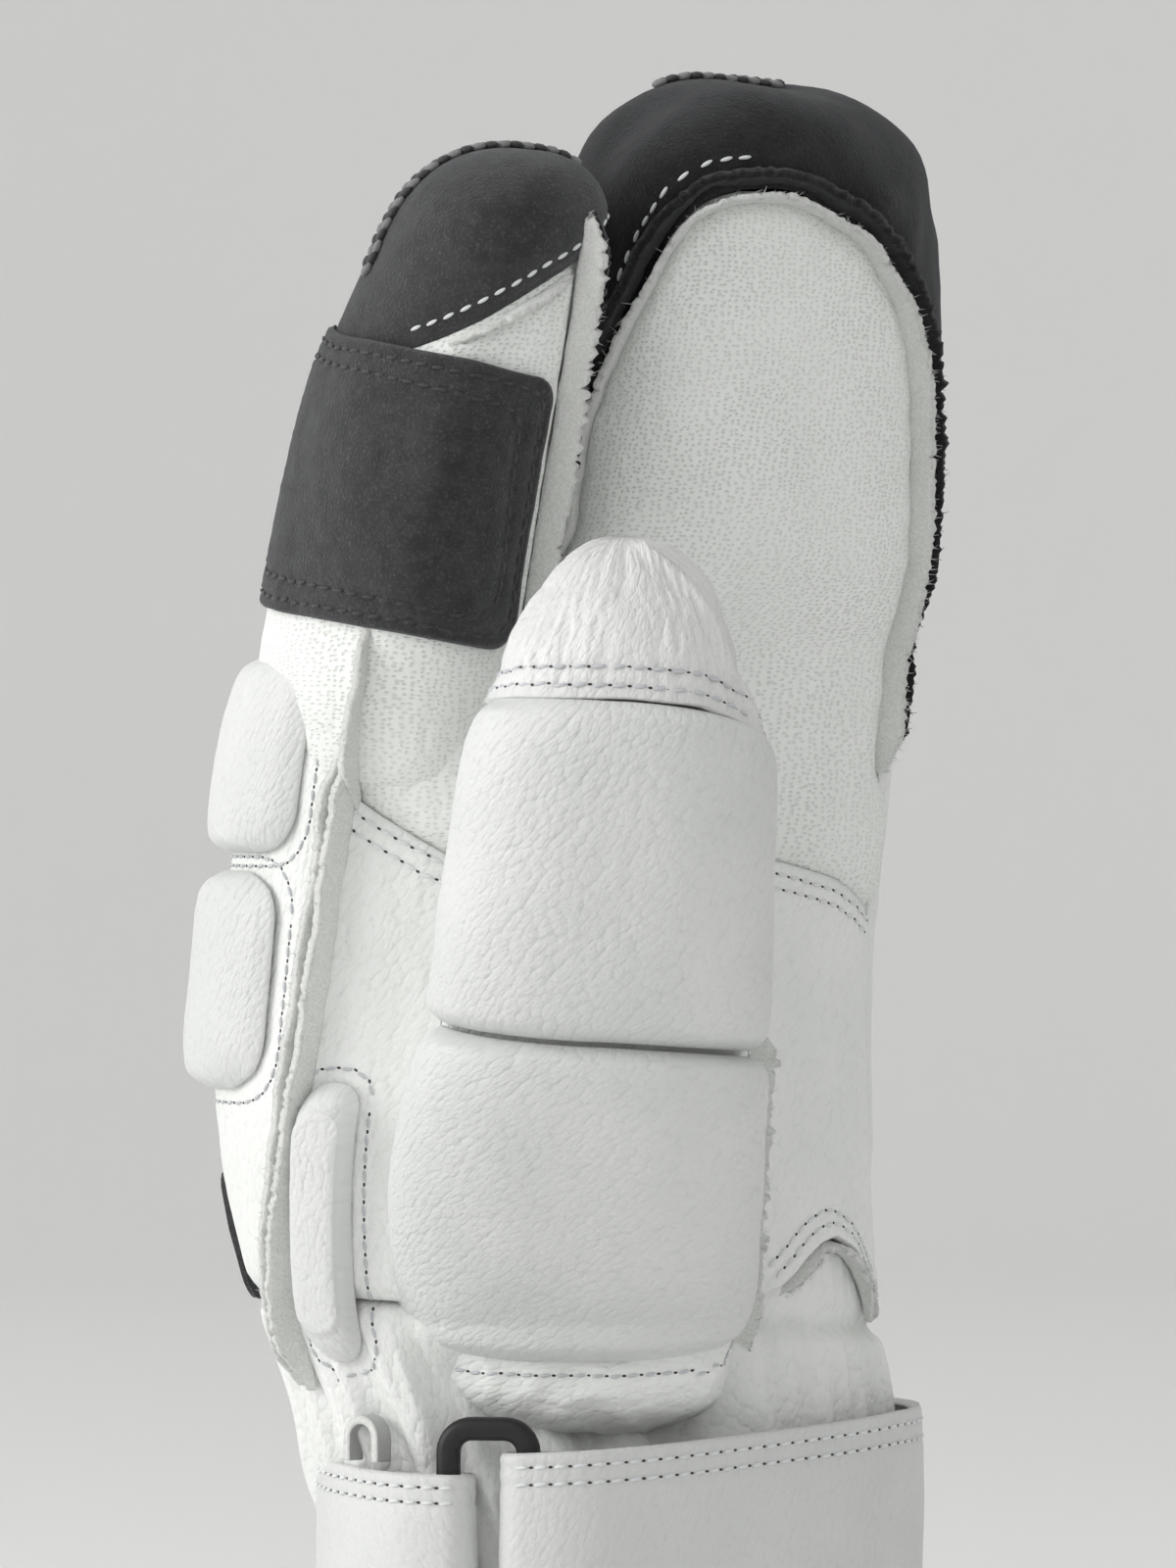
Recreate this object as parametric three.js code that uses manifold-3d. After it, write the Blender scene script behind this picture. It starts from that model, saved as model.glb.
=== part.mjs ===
// Three-finger ski glove for the left hand, standing on the hem of its cuff with the fingers up.
// White leather over padding: a hand with a pouch for three fingers, a separate index finger and a
// thumb held in front of the palm. Dark suede covers the fingertips and the index finger's side.
// Millimetres, +Z up. The palm faces -Y, the index finger and thumb are at -X.
import * as THREE from 'three';
import { LoftGeometry } from 'three/addons/geometries/LoftGeometry.js';
import { mergeVertices } from 'three/addons/utils/BufferGeometryUtils.js';
import Module from 'manifold-3d';

const wasm = await Module();
wasm.setup();

// Driving sizes
const wall = 3; // leather, padding and lining together
const gap = 0.3; // between pieces that touch
const panelClearance = 1; // degrees round the hand between two panels' edges
const suede = 1.2; // one layer of suede
const strapLeather = 1.6;
const gloveLength = 264;
const thumbTurn = -38; // degrees that the thumb is turned about the glove's length

// Seams between the panels: the height at x = 0 and the slope in degrees along X
const wristSeam = { height: 99, slope: -4 };
const palmSeam = { height: 160, slope: -10 };
const capSeam = { height: 170, slope: 0 };
const indexSeam = { height: 188, slope: 0 };
const indexCapSeam = { height: 251, slope: 30 };
const thumbTipSeam = { height: 181, slope: 0 };

const radians = THREE.MathUtils.degToRad;
const up = new THREE.Vector3(0, 0, 1);
const count = (n, make) => Array.from({ length: n }, (_, i) => make(i));

// A short table becomes a list of rows with named columns.
const table = (names, ...rows) =>
  rows.map((row) => Object.fromEntries(names.map((name, i) => [name, row[i]])));

// The glove's tubes. A row is a level cross-section: a squared ellipse round its centre.
const sectionColumns = ['z', 'x', 'y', 'halfWidth', 'halfDepth', 'square'];

const hand = tube({
  tipLength: gloveLength - 240,
  tipLean: { x: -2, y: -2.5 },
  tipSquare: 2.2,
  rows: table(
    sectionColumns,
    [0, 7, -9, 54, 38, 2.1],
    [22, 7, -9, 49, 34, 2.1],
    [45, 7.5, -9, 41.5, 29.2, 2.2],
    [66, 7.5, -9, 39.8, 28.2, 2.3],
    [86, 4.2, -8, 42.8, 27.5, 2.3],
    [104, 2, -4, 46.3, 28, 2.4],
    [126, 1, -1.5, 49, 28, 2.4],
    [146, 1, -2.5, 48.5, 28, 2.4],
    [165, 2, -4.5, 48.5, 27.5, 2.4],
    [180, 2.7, -7, 48, 26.5, 2.4],
    [187, 4.3, -8.5, 46, 26, 2.4],
    [193, 10.6, -11.5, 39, 25, 2.4],
    [200, 16.2, -14, 32.8, 24, 2.4],
    [215, 18.4, -17.5, 30.4, 22, 2.4],
    [229, 19.5, -20.5, 29.2, 20.5, 2.4],
    [240, 19.2, -22, 28.2, 20, 2.4],
  ),
});

const index = tube({
  tipLength: 13.5,
  tipLean: { x: 2.5, y: -2 },
  tipSquare: 2.1,
  rows: table(
    sectionColumns,
    [165, -31, -7, 13, 18, 2.3],
    [183, -32.5, -10.5, 15, 19, 2.3],
    [200, -32.3, -15, 15.2, 18.2, 2.3],
    [223, -30.5, -21, 15, 17.8, 2.3],
    [239, -27.5, -25.5, 13.8, 16.4, 2.2],
  ),
});

// The thumb's columns are in its own turned frame: x runs across it, y towards the palm.
const thumb = tube({
  turn: thumbTurn,
  tipLength: 17,
  tipLean: { x: 0, y: 1 },
  tipSquare: 2.1,
  rows: table(
    sectionColumns,
    [82, 6.5, -10, 17, 13, 2.2],
    [97, 5.5, -22, 21, 17, 2.4],
    [112, 5.2, -35, 22.3, 18.5, 2.5],
    [126, 6, -46, 22, 18.5, 2.5],
    [140, 8.3, -54, 20.3, 17.5, 2.5],
    [156, 9.6, -60, 19.2, 16.5, 2.5],
    [172, 11, -64, 18, 15.5, 2.5],
    [184, 11.8, -66, 15.6, 14.5, 2.4],
  ),
});

// A tube's centre line and sizes run smoothly through its rows, and its round tip leans a little.
function tube({ rows, turn = 0, tipLength, tipLean, tipSquare }) {
  const across = new THREE.Vector3(1, 0, 0).applyAxisAngle(up, radians(turn));
  const depth = new THREE.Vector3(0, 1, 0).applyAxisAngle(up, radians(turn));
  const centre = (row) =>
    new THREE.Vector3(0, 0, row.z).addScaledVector(across, row.x).addScaledVector(depth, row.y);
  const size = (row) => new THREE.Vector3(row.halfWidth, row.halfDepth, row.square);
  const smooth = (points) => new THREE.CatmullRomCurve3(points, false, 'catmullrom', 0.5);
  return {
    across,
    depth,
    tipLength,
    tipLean,
    tipSquare,
    last: rows.length - 1,
    centres: smooth(rows.map(centre)),
    sizes: smooth(rows.map(size)),
  };
}

const power = (value, exponent) => Math.sign(value) * Math.abs(value) ** exponent;

// A point of a tube's skin, lifted off it. The angle is 0 at +X, 90 at the back, 270 at the palm.
// The level counts rows from the root, and one more row is the round tip.
function skin(part, angle, level, lift = 0) {
  const along = Math.min(level / part.last, 1);
  const size = part.sizes.getPoint(along);
  const turned = radians(angle);
  const rise = radians(90) * Math.max(0, level - part.last);
  const shrink = Math.max(0, Math.cos(rise)) ** (2 / part.tipSquare);
  const climb = Math.sin(rise) ** (2 / part.tipSquare);
  const sideways = power(Math.cos(turned), 2 / size.z) * (size.x + lift) * shrink;
  const backwards = power(Math.sin(turned), 2 / size.z) * (size.y + lift) * shrink;
  return part.centres
    .getPoint(along)
    .addScaledVector(part.across, sideways + part.tipLean.x * climb)
    .addScaledVector(part.depth, backwards + part.tipLean.y * climb)
    .addScaledVector(up, climb * (part.tipLength + lift));
}

// The level at which a tube's skin reaches a height, found by halving.
function levelAt(part, height) {
  let [low, high] = [0, part.last + 1];
  for (let i = 0; i < 30; i++) {
    const middle = (low + high) / 2;
    if (skin(part, 0, middle).z < height) low = middle;
    else high = middle;
  }
  return low;
}

// A closed loft or extrusion becomes a solid for joining and cutting, its faces turned outwards.
function solid(geometry) {
  const bare = new THREE.BufferGeometry();
  bare.setAttribute('position', geometry.getAttribute('position'));
  bare.setIndex(geometry.getIndex());
  const merged = mergeVertices(bare, 1e-3);
  const position = merged.getAttribute('position');
  const corner = (i) => new THREE.Vector3().fromBufferAttribute(position, i);
  let triangles = [];
  let volume = 0;
  for (let i = 0; i < merged.index.count; i += 3) {
    const [a, b, c] = [0, 1, 2].map((k) => merged.index.getX(i + k));
    if (a === b || b === c || c === a) continue;
    triangles.push([a, b, c]);
    volume += corner(a).dot(corner(b).cross(corner(c)));
  }
  if (volume < 0) triangles = triangles.map(([a, b, c]) => [a, c, b]);
  return new wasm.Manifold(
    new wasm.Mesh({
      numProp: 3,
      vertProperties: new Float32Array(position.array),
      triVerts: new Uint32Array(triangles.flat()),
    }),
  );
}

const loft = (sections) => solid(new LoftGeometry(sections, { capStart: true, capEnd: true }));

// A loft that closes in a point at both ends, for sections that wrap over a plate or along a strip
function closedLoft(sections) {
  const point = (ring) => {
    const sum = ring.reduce((total, corner) => total.add(corner), new THREE.Vector3());
    return ring.map(() => sum.clone().divideScalar(ring.length));
  };
  return solid(new LoftGeometry([point(sections[0]), ...sections, point(sections.at(-1))]));
}

// The solid inside a tube's skin. A mouth runs a hollow out below the root.
function filled(part, { lift = 0, sides, tipRings = 4, mouth = 0 }) {
  const ring = (level, drop = 0) =>
    count(sides, (i) => skin(part, (360 * i) / sides, level, lift).addScaledVector(up, -drop));
  const rings = count(part.last + 1, (i) => ring(i));
  const tip = count(tipRings, (i) => ring(part.last + (i + 1) / (tipRings + 0.35)));
  return loft([...(mouth ? [ring(0, mouth)] : []), ...rings, ...tip]);
}

// A panel's edges are smooth curves through its rows: height, and the angles where it begins and ends.
function panel(part, rows, steps) {
  const edge = new THREE.CatmullRomCurve3(
    rows.map((row) => new THREE.Vector3(row.from, row.to, row.height)),
  );
  const spans = count(steps + 1, (i) => edge.getPoint(i / steps));
  return { part, spans: spans.map(({ x, y, z }) => ({ from: x, to: y, height: z })) };
}

// A block over a panel that reaches through the wall. One that clears it is a little wider.
function cutter({ part, spans }, { clear = false } = {}) {
  const across = 9;
  const grow = clear ? panelClearance : 0;
  const angles = (span) =>
    count(across + 1, (i) => span.from - grow + ((span.to - span.from + 2 * grow) * i) / across);
  return loft(
    spans.map((span, row) => {
      const end = clear && row === spans.length - 1 ? gap : 0;
      const level = levelAt(part, span.height + end);
      const outer = angles(span).map((angle) => skin(part, angle, level, 7 * wall));
      const inner = angles(span).map((angle) => skin(part, angle, level, -3 * wall));
      return [...outer, ...inner.reverse()];
    }),
  );
}

// Everything above a seam's plane, raised a little for the gap to what lies below.
function above({ height, slope }, raise = 0) {
  const size = 600;
  const block = new THREE.BoxGeometry(size, size, size).translate(0, 0, size / 2);
  block.rotateY(radians(-slope)).translate(0, 0, height + raise);
  return solid(block);
}

// A pad or patch over a rounded outline, thick at its edge and crown. It starts inside the wall, and
// whatever is clear of the skin is kept.
function plate(patch, { edge, crown, around = 22, rings = 3 }) {
  const ring = (share, rise) =>
    count(around, (i) => {
      const turned = (2 * Math.PI * i) / around;
      const across = power(Math.cos(turned), 2 / patch.corner) * share;
      const along = power(Math.sin(turned), 2 / patch.corner) * share;
      const height = patch.height + patch.halfHeight * along + (patch.slant ?? 0) * across;
      const angle = patch.angle + patch.halfAngle * across + (patch.lean ?? 0) * along;
      return skin(patch.part, angle, levelAt(patch.part, height), gap + rise);
    });
  const shares = count(rings, (i) => Math.sin((radians(90) * (i + 0.5)) / (rings - 0.5)));
  const below = shares.map((share) => ring(share, -wall / 2));
  const over = shares.map((share) => ring(share, edge + (crown - edge) * (1 - share ** 4)));
  return closedLoft([...below, ...over.reverse()]);
}

// A strip of constant profile between two curves. The profile's points are [across, outwards].
function sweep(low, high, profile, steps) {
  return closedLoft(
    count(steps + 1, (i) => {
      const origin = low.getPoint(i / steps);
      const outwards = high.getPoint(i / steps).sub(origin).normalize();
      const across = new THREE.Vector3().crossVectors(low.getTangent(i / steps), outwards).normalize();
      return profile.map(([sideways, rise]) =>
        origin.clone().addScaledVector(across, sideways).addScaledVector(outwards, rise),
      );
    }),
  );
}

// A raised seam along a route of [angle, height] over a tube's skin
function welt(part, route, steps) {
  const half = 0.9;
  const rise = 2.8;
  const curve = (lift) =>
    new THREE.CatmullRomCurve3(
      route.map(([angle, height]) => skin(part, angle, levelAt(part, height), lift)),
    );
  const profile = [
    [-half, -wall / 2],
    [half, -wall / 2],
    [half, rise],
    [-half, rise],
  ];
  return sweep(curve(gap), curve(gap + 1), profile, steps);
}

// The whole glove as one skin, still without its seams
const handOuter = filled(hand, { sides: 32 });
const indexOuter = filled(index, { sides: 20 });
const thumbOuter = filled(thumb, { sides: 22 });
const hollow = filled(hand, { lift: -wall, sides: 24, mouth: 5 })
  .add(filled(index, { lift: -wall, sides: 14 }))
  .add(filled(thumb, { lift: -wall, sides: 16 }));
const wholeSkin = handOuter.add(indexOuter).add(thumbOuter).subtract(hollow);

// Index finger and thumb, parted from the hand along their own surfaces
const indexRoot = above(indexSeam);
const handClear = filled(hand, { lift: gap, sides: 32 });
const indexClear = filled(index, { lift: gap, sides: 20 });
const thumbClear = filled(thumb, { lift: gap, sides: 22 });
const skinClear = handClear.add(indexClear).add(thumbClear);
const indexSkin = wholeSkin.intersect(indexOuter).intersect(indexRoot);
const thumbSkin = wholeSkin.intersect(thumbOuter);
const handSkin = wholeSkin
  .subtract(indexClear.intersect(above(indexSeam, -gap)))
  .subtract(thumbClear);

// Panels of the hand
const panelColumns = ['height', 'from', 'to'];
const facePanel = panel(
  hand,
  table(
    panelColumns,
    [140, 197, 330],
    [170, 199, 319],
    [200, 200, 311],
    [219, 192, 303],
    [231, 202, 293],
    [239, 212, 281],
    [244, 224, 269],
    [247, 240, 258],
  ),
  12,
);
const palmPanel = panel(
  hand,
  table(panelColumns, [80, 168, 334], [92, 172, 332], [111, 182, 330], [131, 193, 326], [180, 199, 322]),
  8,
);
const backPanel = panel(
  hand,
  table(
    panelColumns,
    [160, -52, 220],
    [172, -36, 218],
    [186, 0, 216],
    [198, 22, 194],
    [208, 36, 160],
    [218, 52, 130],
    [226, 68, 112],
  ),
  9,
);

const overWrist = handSkin.intersect(above(wristSeam));
const face = cutter(facePanel).intersect(above(palmSeam));
const faceClear = cutter(facePanel, { clear: true }).intersect(above(palmSeam, -gap));
const palm = cutter(palmPanel).subtract(above(palmSeam, -gap));
const palmClear = cutter(palmPanel, { clear: true });
const beyondFront = overWrist.subtract(faceClear).subtract(palmClear);
const cap = above(capSeam).subtract(cutter(backPanel, { clear: true }));
const back = above(capSeam, -gap).subtract(cutter(backPanel));

// Foam pads and suede patches
const padEdge = 1.6;
const pads = {
  index_patch: {
    patch: {
      part: index, angle: 203, halfAngle: 82, height: 208, halfHeight: 18, slant: -4, corner: 4,
    },
    shape: { edge: suede, crown: suede, around: 26, rings: 4 },
  },
  thumb_pad_upper: {
    patch: { part: thumb, angle: 270, halfAngle: 80, height: 157.5, halfHeight: 21, corner: 4 },
    shape: { edge: padEdge, crown: 4.5 },
  },
  thumb_pad_lower: {
    patch: { part: thumb, angle: 270, halfAngle: 80, height: 114, halfHeight: 21, corner: 4 },
    shape: { edge: padEdge, crown: 5 },
  },
  knuckle_pad_upper: {
    patch: { part: hand, angle: 120, halfAngle: 67, height: 173.5, halfHeight: 13, corner: 4 },
    shape: { edge: padEdge, crown: 4.2 },
  },
  knuckle_pad_lower: {
    patch: { part: hand, angle: 120, halfAngle: 64, height: 143.5, halfHeight: 14.5, corner: 4 },
    shape: { edge: padEdge, crown: 4.4 },
  },
  side_pad: {
    patch: { part: hand, angle: 197, halfAngle: 7, height: 112, halfHeight: 18, lean: 8, corner: 2.6 },
    shape: { edge: padEdge, crown: 4.5, around: 20 },
  },
  back_panel: {
    patch: { part: hand, angle: 88, halfAngle: 58, height: 109, halfHeight: 8.5, corner: 4 },
    shape: { edge: suede, crown: suede, around: 26, rings: 4 },
  },
};

// Raised seams with raw edges: routes of [angle, height]. The pouch's runs round its face.
const faceEdge = facePanel.spans.filter((span) => span.height > 196);
const welts = {
  pouch_welt: {
    part: hand,
    route: [
      ...faceEdge.map((span) => [span.from, span.height]),
      ...faceEdge.map((span) => [span.to, span.height]).reverse(),
      [318, 172],
    ],
    steps: 30,
  },
  index_welt: { part: index, route: [[284, 241], [292, 228], [300, 210], [304, 197]], steps: 8 },
  side_welt: {
    part: hand,
    route: [[174, 93], [184, 111], [195, 131], [199, 158], [198, 176], [190, 184]],
    steps: 14,
  },
  thumb_welt: { part: thumb, route: [[358, 98], [360, 112], [362, 126], [364, 140]], steps: 8 },
  wrist_welt: { part: hand, route: [[289, 108], [300, 108], [312, 103], [322, 97]], steps: 8 },
};

// Wrist strap, seen along +Z: paths over the hand's section, and round the buckle loop's two legs
const strapBottom = 53;
const strapTop = 83.4;
const tabTop = 80.4;
const strapMiddle = (strapBottom + strapTop) / 2;
const buckleAngle = 214;
const bar = 3.2;
const legSpread = 5.3; // from the loop's middle to each leg's
const legLift = 4.7; // from the skin to the legs' middle
const foldRadius = bar / 2 + 2 * gap + strapLeather / 2;

const overWristSkin = (angle, lift) => skin(hand, angle, levelAt(hand, strapMiddle), lift);
const buckleOrigin = overWristSkin(buckleAngle, 0);
const eastwards = overWristSkin(buckleAngle + 1, 0).sub(overWristSkin(buckleAngle - 1, 0)).normalize();
const outwards = new THREE.Vector3(eastwards.y, -eastwards.x, 0);
const atBuckle = (east, out) =>
  buckleOrigin.clone().setZ(0).addScaledVector(eastwards, east).addScaledVector(outwards, out);

// A strap is its middle line, thickened and drawn upwards.
function ribbon(path, top) {
  const offset = (way) =>
    path.map((point, i) => {
      const before = path[Math.max(i - 1, 0)];
      const after = path[Math.min(i + 1, path.length - 1)];
      const along = after.clone().sub(before).normalize();
      return new THREE.Vector2(
        point.x - (along.y * way * strapLeather) / 2,
        point.y + (along.x * way * strapLeather) / 2,
      );
    });
  const shape = new THREE.Shape([...offset(1), ...offset(-1).reverse()]);
  const block = new THREE.ExtrudeGeometry(shape, { depth: top - strapBottom, bevelEnabled: false });
  return solid(block.translate(0, 0, strapBottom));
}

// The fold round one leg: way is 1 for the leg towards +east and -1 for the other.
const fold = (way) =>
  count(7, (i) => {
    const turned = radians(30 * i);
    const east = way * (legSpread - foldRadius * Math.sin(turned));
    return atBuckle(east, legLift - foldRadius * Math.cos(turned));
  });
const strapLifts = table(
  ['angle', 'lift'],
  [240, 8.6], [246, 8], [252, 7], [258, 6], [264, 5], [270, 4.3], [278, 3.8], [290, 3.4],
  [304, 3.2], [320, 3.2], [338, 3.2], [356, 3], [374, 2.8], [392, 2.5], [410, 2.3], [430, 2.1],
  [450, 2],
);
const tabLifts = table(
  ['angle', 'lift'],
  [192, 7.4], [186, 6.4], [180, 5.2], [174, 4.2], [168, 3.4], [162, 2.9], [156, 2.5], [140, 2.1],
  [120, 2], [100, 2],
);
const innerLayer = (way) => atBuckle(way * 13, legLift - foldRadius);
const strapPath = [
  innerLayer(1),
  ...fold(1),
  atBuckle(9.5, legLift + foldRadius - 0.1),
  atBuckle(13.4, legLift + foldRadius - 1.1),
  ...strapLifts.map(({ angle, lift }) => overWristSkin(angle, lift)),
];
const tabPath = [
  innerLayer(-1),
  ...fold(-1),
  atBuckle(-8.5, legLift + foldRadius - 0.6),
  atBuckle(-11.5, legLift + foldRadius - 1.8),
  ...tabLifts.map(({ angle, lift }) => overWristSkin(angle, lift)),
];

// The buckle loop: a flat rounded frame that stands against the wrist, turned to face outwards
function buckleLoop() {
  const low = strapBottom - gap - 2 * bar;
  const high = strapTop + gap + bar;
  const corner = 3.2;
  const bevel = 0.8;
  const frame = (inset) => {
    const half = legSpread + bar / 2 - inset;
    const round = corner - inset / 2;
    const shape = new THREE.Shape();
    shape.absarc(half - round, high - inset - round, round, 0, radians(90));
    shape.absarc(round - half, high - inset - round, round, radians(90), radians(180));
    shape.absarc(round - half, low + inset + round, round, radians(180), radians(270));
    shape.absarc(half - round, low + inset + round, round, radians(270), radians(360));
    return shape;
  };
  const outer = frame(bevel);
  outer.holes.push(frame(bar - bevel));
  const block = new THREE.ExtrudeGeometry(outer, {
    depth: bar - 2 * bevel,
    bevelThickness: bevel,
    bevelSize: bevel,
    bevelSegments: 1,
    curveSegments: 2,
  });
  const place = new THREE.Matrix4().makeBasis(eastwards, up, outwards.clone().negate());
  place.setPosition(atBuckle(0, legLift + bar / 2 - bevel));
  return solid(block.applyMatrix4(place));
}

// The small leather loop above the tab: a flat strip bent into an arch that stands on the skin
function pullLoop() {
  const foot = { angle: 189, height: tabTop + gap, lift: 1.5 };
  const half = 3;
  const rise = 3;
  const root = skin(hand, foot.angle, levelAt(hand, foot.height), foot.lift);
  const out = skin(hand, foot.angle, levelAt(hand, foot.height), foot.lift + 1).sub(root).setZ(0);
  out.normalize();
  const aside = new THREE.Vector3(-out.y, out.x, 0);
  const point = (east, height, depth) =>
    root.clone().addScaledVector(aside, east).addScaledVector(up, height).addScaledVector(out, depth);
  const arch = (depth) =>
    new THREE.CatmullRomCurve3([
      point(-half, 0, depth),
      point(-half, rise, depth),
      ...count(5, (i) => {
        const turned = radians(150 - 30 * i);
        return point(half * Math.cos(turned), rise + half * Math.sin(turned), depth);
      }),
      point(half, rise, depth),
      point(half, 0, depth),
    ]);
  const profile = [
    [-0.6, 0],
    [0.6, 0],
    [0.6, 2.6],
    [-0.6, 2.6],
  ];
  return sweep(arch(0), arch(1), profile, 16);
}

// Every piece with its colour, roughness and solid
const white = { color: '#e9eae8', roughness: 0.6 };
const dark = { color: '#3b3b3e', roughness: 0.9 };
const plastic = { color: '#1c1d1f', roughness: 0.45 };
const pieces = {
  cuff: [white, handSkin.subtract(above(wristSeam, -gap))],
  palm: [white, overWrist.intersect(palm)],
  pouch_face: [white, overWrist.intersect(face)],
  back_of_hand: [white, beyondFront.subtract(back)],
  pouch_cap: [dark, beyondFront.intersect(cap)],
  index_shell: [white, indexSkin.subtract(above(indexCapSeam, -gap))],
  index_cap: [dark, indexSkin.intersect(above(indexCapSeam))],
  thumb_shell: [white, thumbSkin.subtract(above(thumbTipSeam, -gap))],
  thumb_tip: [white, thumbSkin.intersect(above(thumbTipSeam))],
  strap: [white, ribbon(strapPath, strapTop).subtract(skinClear)],
  strap_tab: [white, ribbon(tabPath, tabTop).subtract(skinClear)],
  buckle_loop: [plastic, buckleLoop()],
  pull_loop: [white, pullLoop().subtract(skinClear)],
};
for (const [name, { patch, shape }] of Object.entries(pads)) {
  const look = ['index_patch', 'back_panel'].includes(name) ? dark : white;
  pieces[name] = [look, plate(patch, shape).subtract(skinClear)];
}
for (const [name, { part, route, steps }] of Object.entries(welts)) {
  pieces[name] = [white, welt(part, route, steps).subtract(skinClear)];
}

function toMesh(name, [look, body]) {
  const { vertProperties, triVerts } = body.getMesh();
  const geometry = new THREE.BufferGeometry();
  geometry.setAttribute('position', new THREE.BufferAttribute(vertProperties, 3));
  geometry.setIndex(new THREE.BufferAttribute(triVerts, 1));
  geometry.computeVertexNormals();
  const mesh = new THREE.Mesh(geometry, new THREE.MeshStandardMaterial({ ...look, metalness: 0 }));
  mesh.name = name;
  return mesh;
}

// The glove stands on z = 0 with its box's middle at x = y = 0.
const glove = new THREE.Group();
Object.entries(pieces).forEach(([name, piece]) => glove.add(toMesh(name, piece)));
const box = new THREE.Box3().setFromObject(glove);
const middle = box.getCenter(new THREE.Vector3());
glove.position.set(-middle.x, -middle.y, -box.min.z);

export default glove;
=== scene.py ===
import math
import random

import bmesh
import bpy
import numpy as np
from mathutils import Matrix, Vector
from mathutils.bvhtree import BVHTree
from mathutils.kdtree import KDTree


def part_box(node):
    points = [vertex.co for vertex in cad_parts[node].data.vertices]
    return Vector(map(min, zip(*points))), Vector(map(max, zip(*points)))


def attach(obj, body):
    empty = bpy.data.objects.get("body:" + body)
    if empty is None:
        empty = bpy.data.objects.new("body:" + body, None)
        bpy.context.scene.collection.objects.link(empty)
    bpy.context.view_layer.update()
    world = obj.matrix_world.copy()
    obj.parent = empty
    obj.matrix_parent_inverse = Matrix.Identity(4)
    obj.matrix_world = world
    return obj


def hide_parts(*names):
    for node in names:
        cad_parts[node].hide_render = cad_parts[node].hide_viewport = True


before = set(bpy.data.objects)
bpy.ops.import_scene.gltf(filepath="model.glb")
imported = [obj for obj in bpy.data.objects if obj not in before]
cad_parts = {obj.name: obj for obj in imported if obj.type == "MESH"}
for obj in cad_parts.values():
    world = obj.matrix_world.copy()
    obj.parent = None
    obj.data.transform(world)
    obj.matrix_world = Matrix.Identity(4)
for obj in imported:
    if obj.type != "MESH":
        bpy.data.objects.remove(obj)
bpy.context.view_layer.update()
scene = bpy.context.scene
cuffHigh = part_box("cuff")[1]
# The tables below have their own origin: the cuff's widest point is at x = 61 and y = 29 there.
tableOrigin = np.array([cuffHigh.x * 1000 - 61, cuffHigh.y * 1000 - 29, 0])
upwards = np.array([0.0, 0.0, 1.0])


def toMetres(points):
    return (np.asarray(points) + tableOrigin) / 1000


def clamped(value):
    return np.clip(value, 0, 1)


def bell(distance, width):
    return np.exp(-((distance / width) ** 2))


def unit(rows):
    return rows / np.linalg.norm(rows, axis=1)[:, None]


def pathLengths(points):
    return np.r_[0, np.cumsum(np.linalg.norm(np.diff(points, axis=0), axis=1))]


def alongPath(at, run, points):
    return np.stack([np.interp(at, run, column) for column in np.transpose(points)], axis=-1)


# Camera and light, all placed as seen from the camera: right, towards it and up
camera = {"azimuth": -38, "distance": 1250, "right": 7.13, "height": 169.3, "lens": 213}
right = np.array([math.cos(math.radians(camera["azimuth"])), math.sin(math.radians(camera["azimuth"])), 0])
towards = np.array([right[1], -right[0], 0])


def seen(rightwards, near, high):
    return Vector(toMetres(right * rightwards + towards * near + upwards * high))


def placeCamera():
    data = bpy.data.cameras.new("camera")
    data.lens = camera["lens"]
    data.clip_start = 0.05
    data.clip_end = 50
    thing = bpy.data.objects.new("camera", data)
    scene.collection.objects.link(thing)
    thing.location = seen(camera["right"], camera["distance"], camera["height"])
    aim = seen(camera["right"], 0, camera["height"]) - thing.location
    thing.rotation_euler = aim.to_track_quat("-Z", "Y").to_euler()
    scene.camera = thing


placeCamera()
lights = {
    # place, aim, size in metres, watts, colour
    "left": ((-1700, 450, 800), (0, 0, 150), 1.3, 20.0, (1.0, 0.995, 0.985)),
    "front": ((-600, 1750, 1300), (0, 0, 160), 1.2, 4.5, (1, 1, 1)),
    "top": ((-200, 0, 1900), (0, 0, 150), 1.2, 2, (1, 1, 1)),
    "fill": ((1700, 500, 600), (0, 0, 160), 1.4, 0.3, (0.97, 0.985, 1.0)),
    "rim": ((-1200, -1300, 900), (0, 0, 160), 1.0, 1.2, (1, 1, 1)),
}
for name, (place, aim, size, watts, colour) in lights.items():
    data = bpy.data.lights.new(name, "AREA")
    data.shape = "DISK"
    data.size = size
    data.energy = watts
    data.color = colour
    lamp = bpy.data.objects.new(name, data)
    scene.collection.objects.link(lamp)
    lamp.location = seen(*place)
    lamp.rotation_euler = (seen(*aim) - lamp.location).to_track_quat("-Z", "Y").to_euler()
    lamp.visible_camera = False
world = bpy.data.worlds.new("studio")
scene.world = world
world.use_nodes = True
world.node_tree.nodes["Background"].inputs["Color"].default_value = (1.0, 1.0, 0.99, 1)
world.node_tree.nodes["Background"].inputs["Strength"].default_value = 0.585
scene.view_settings.view_transform = "Standard"
print("camera and lights")


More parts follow.
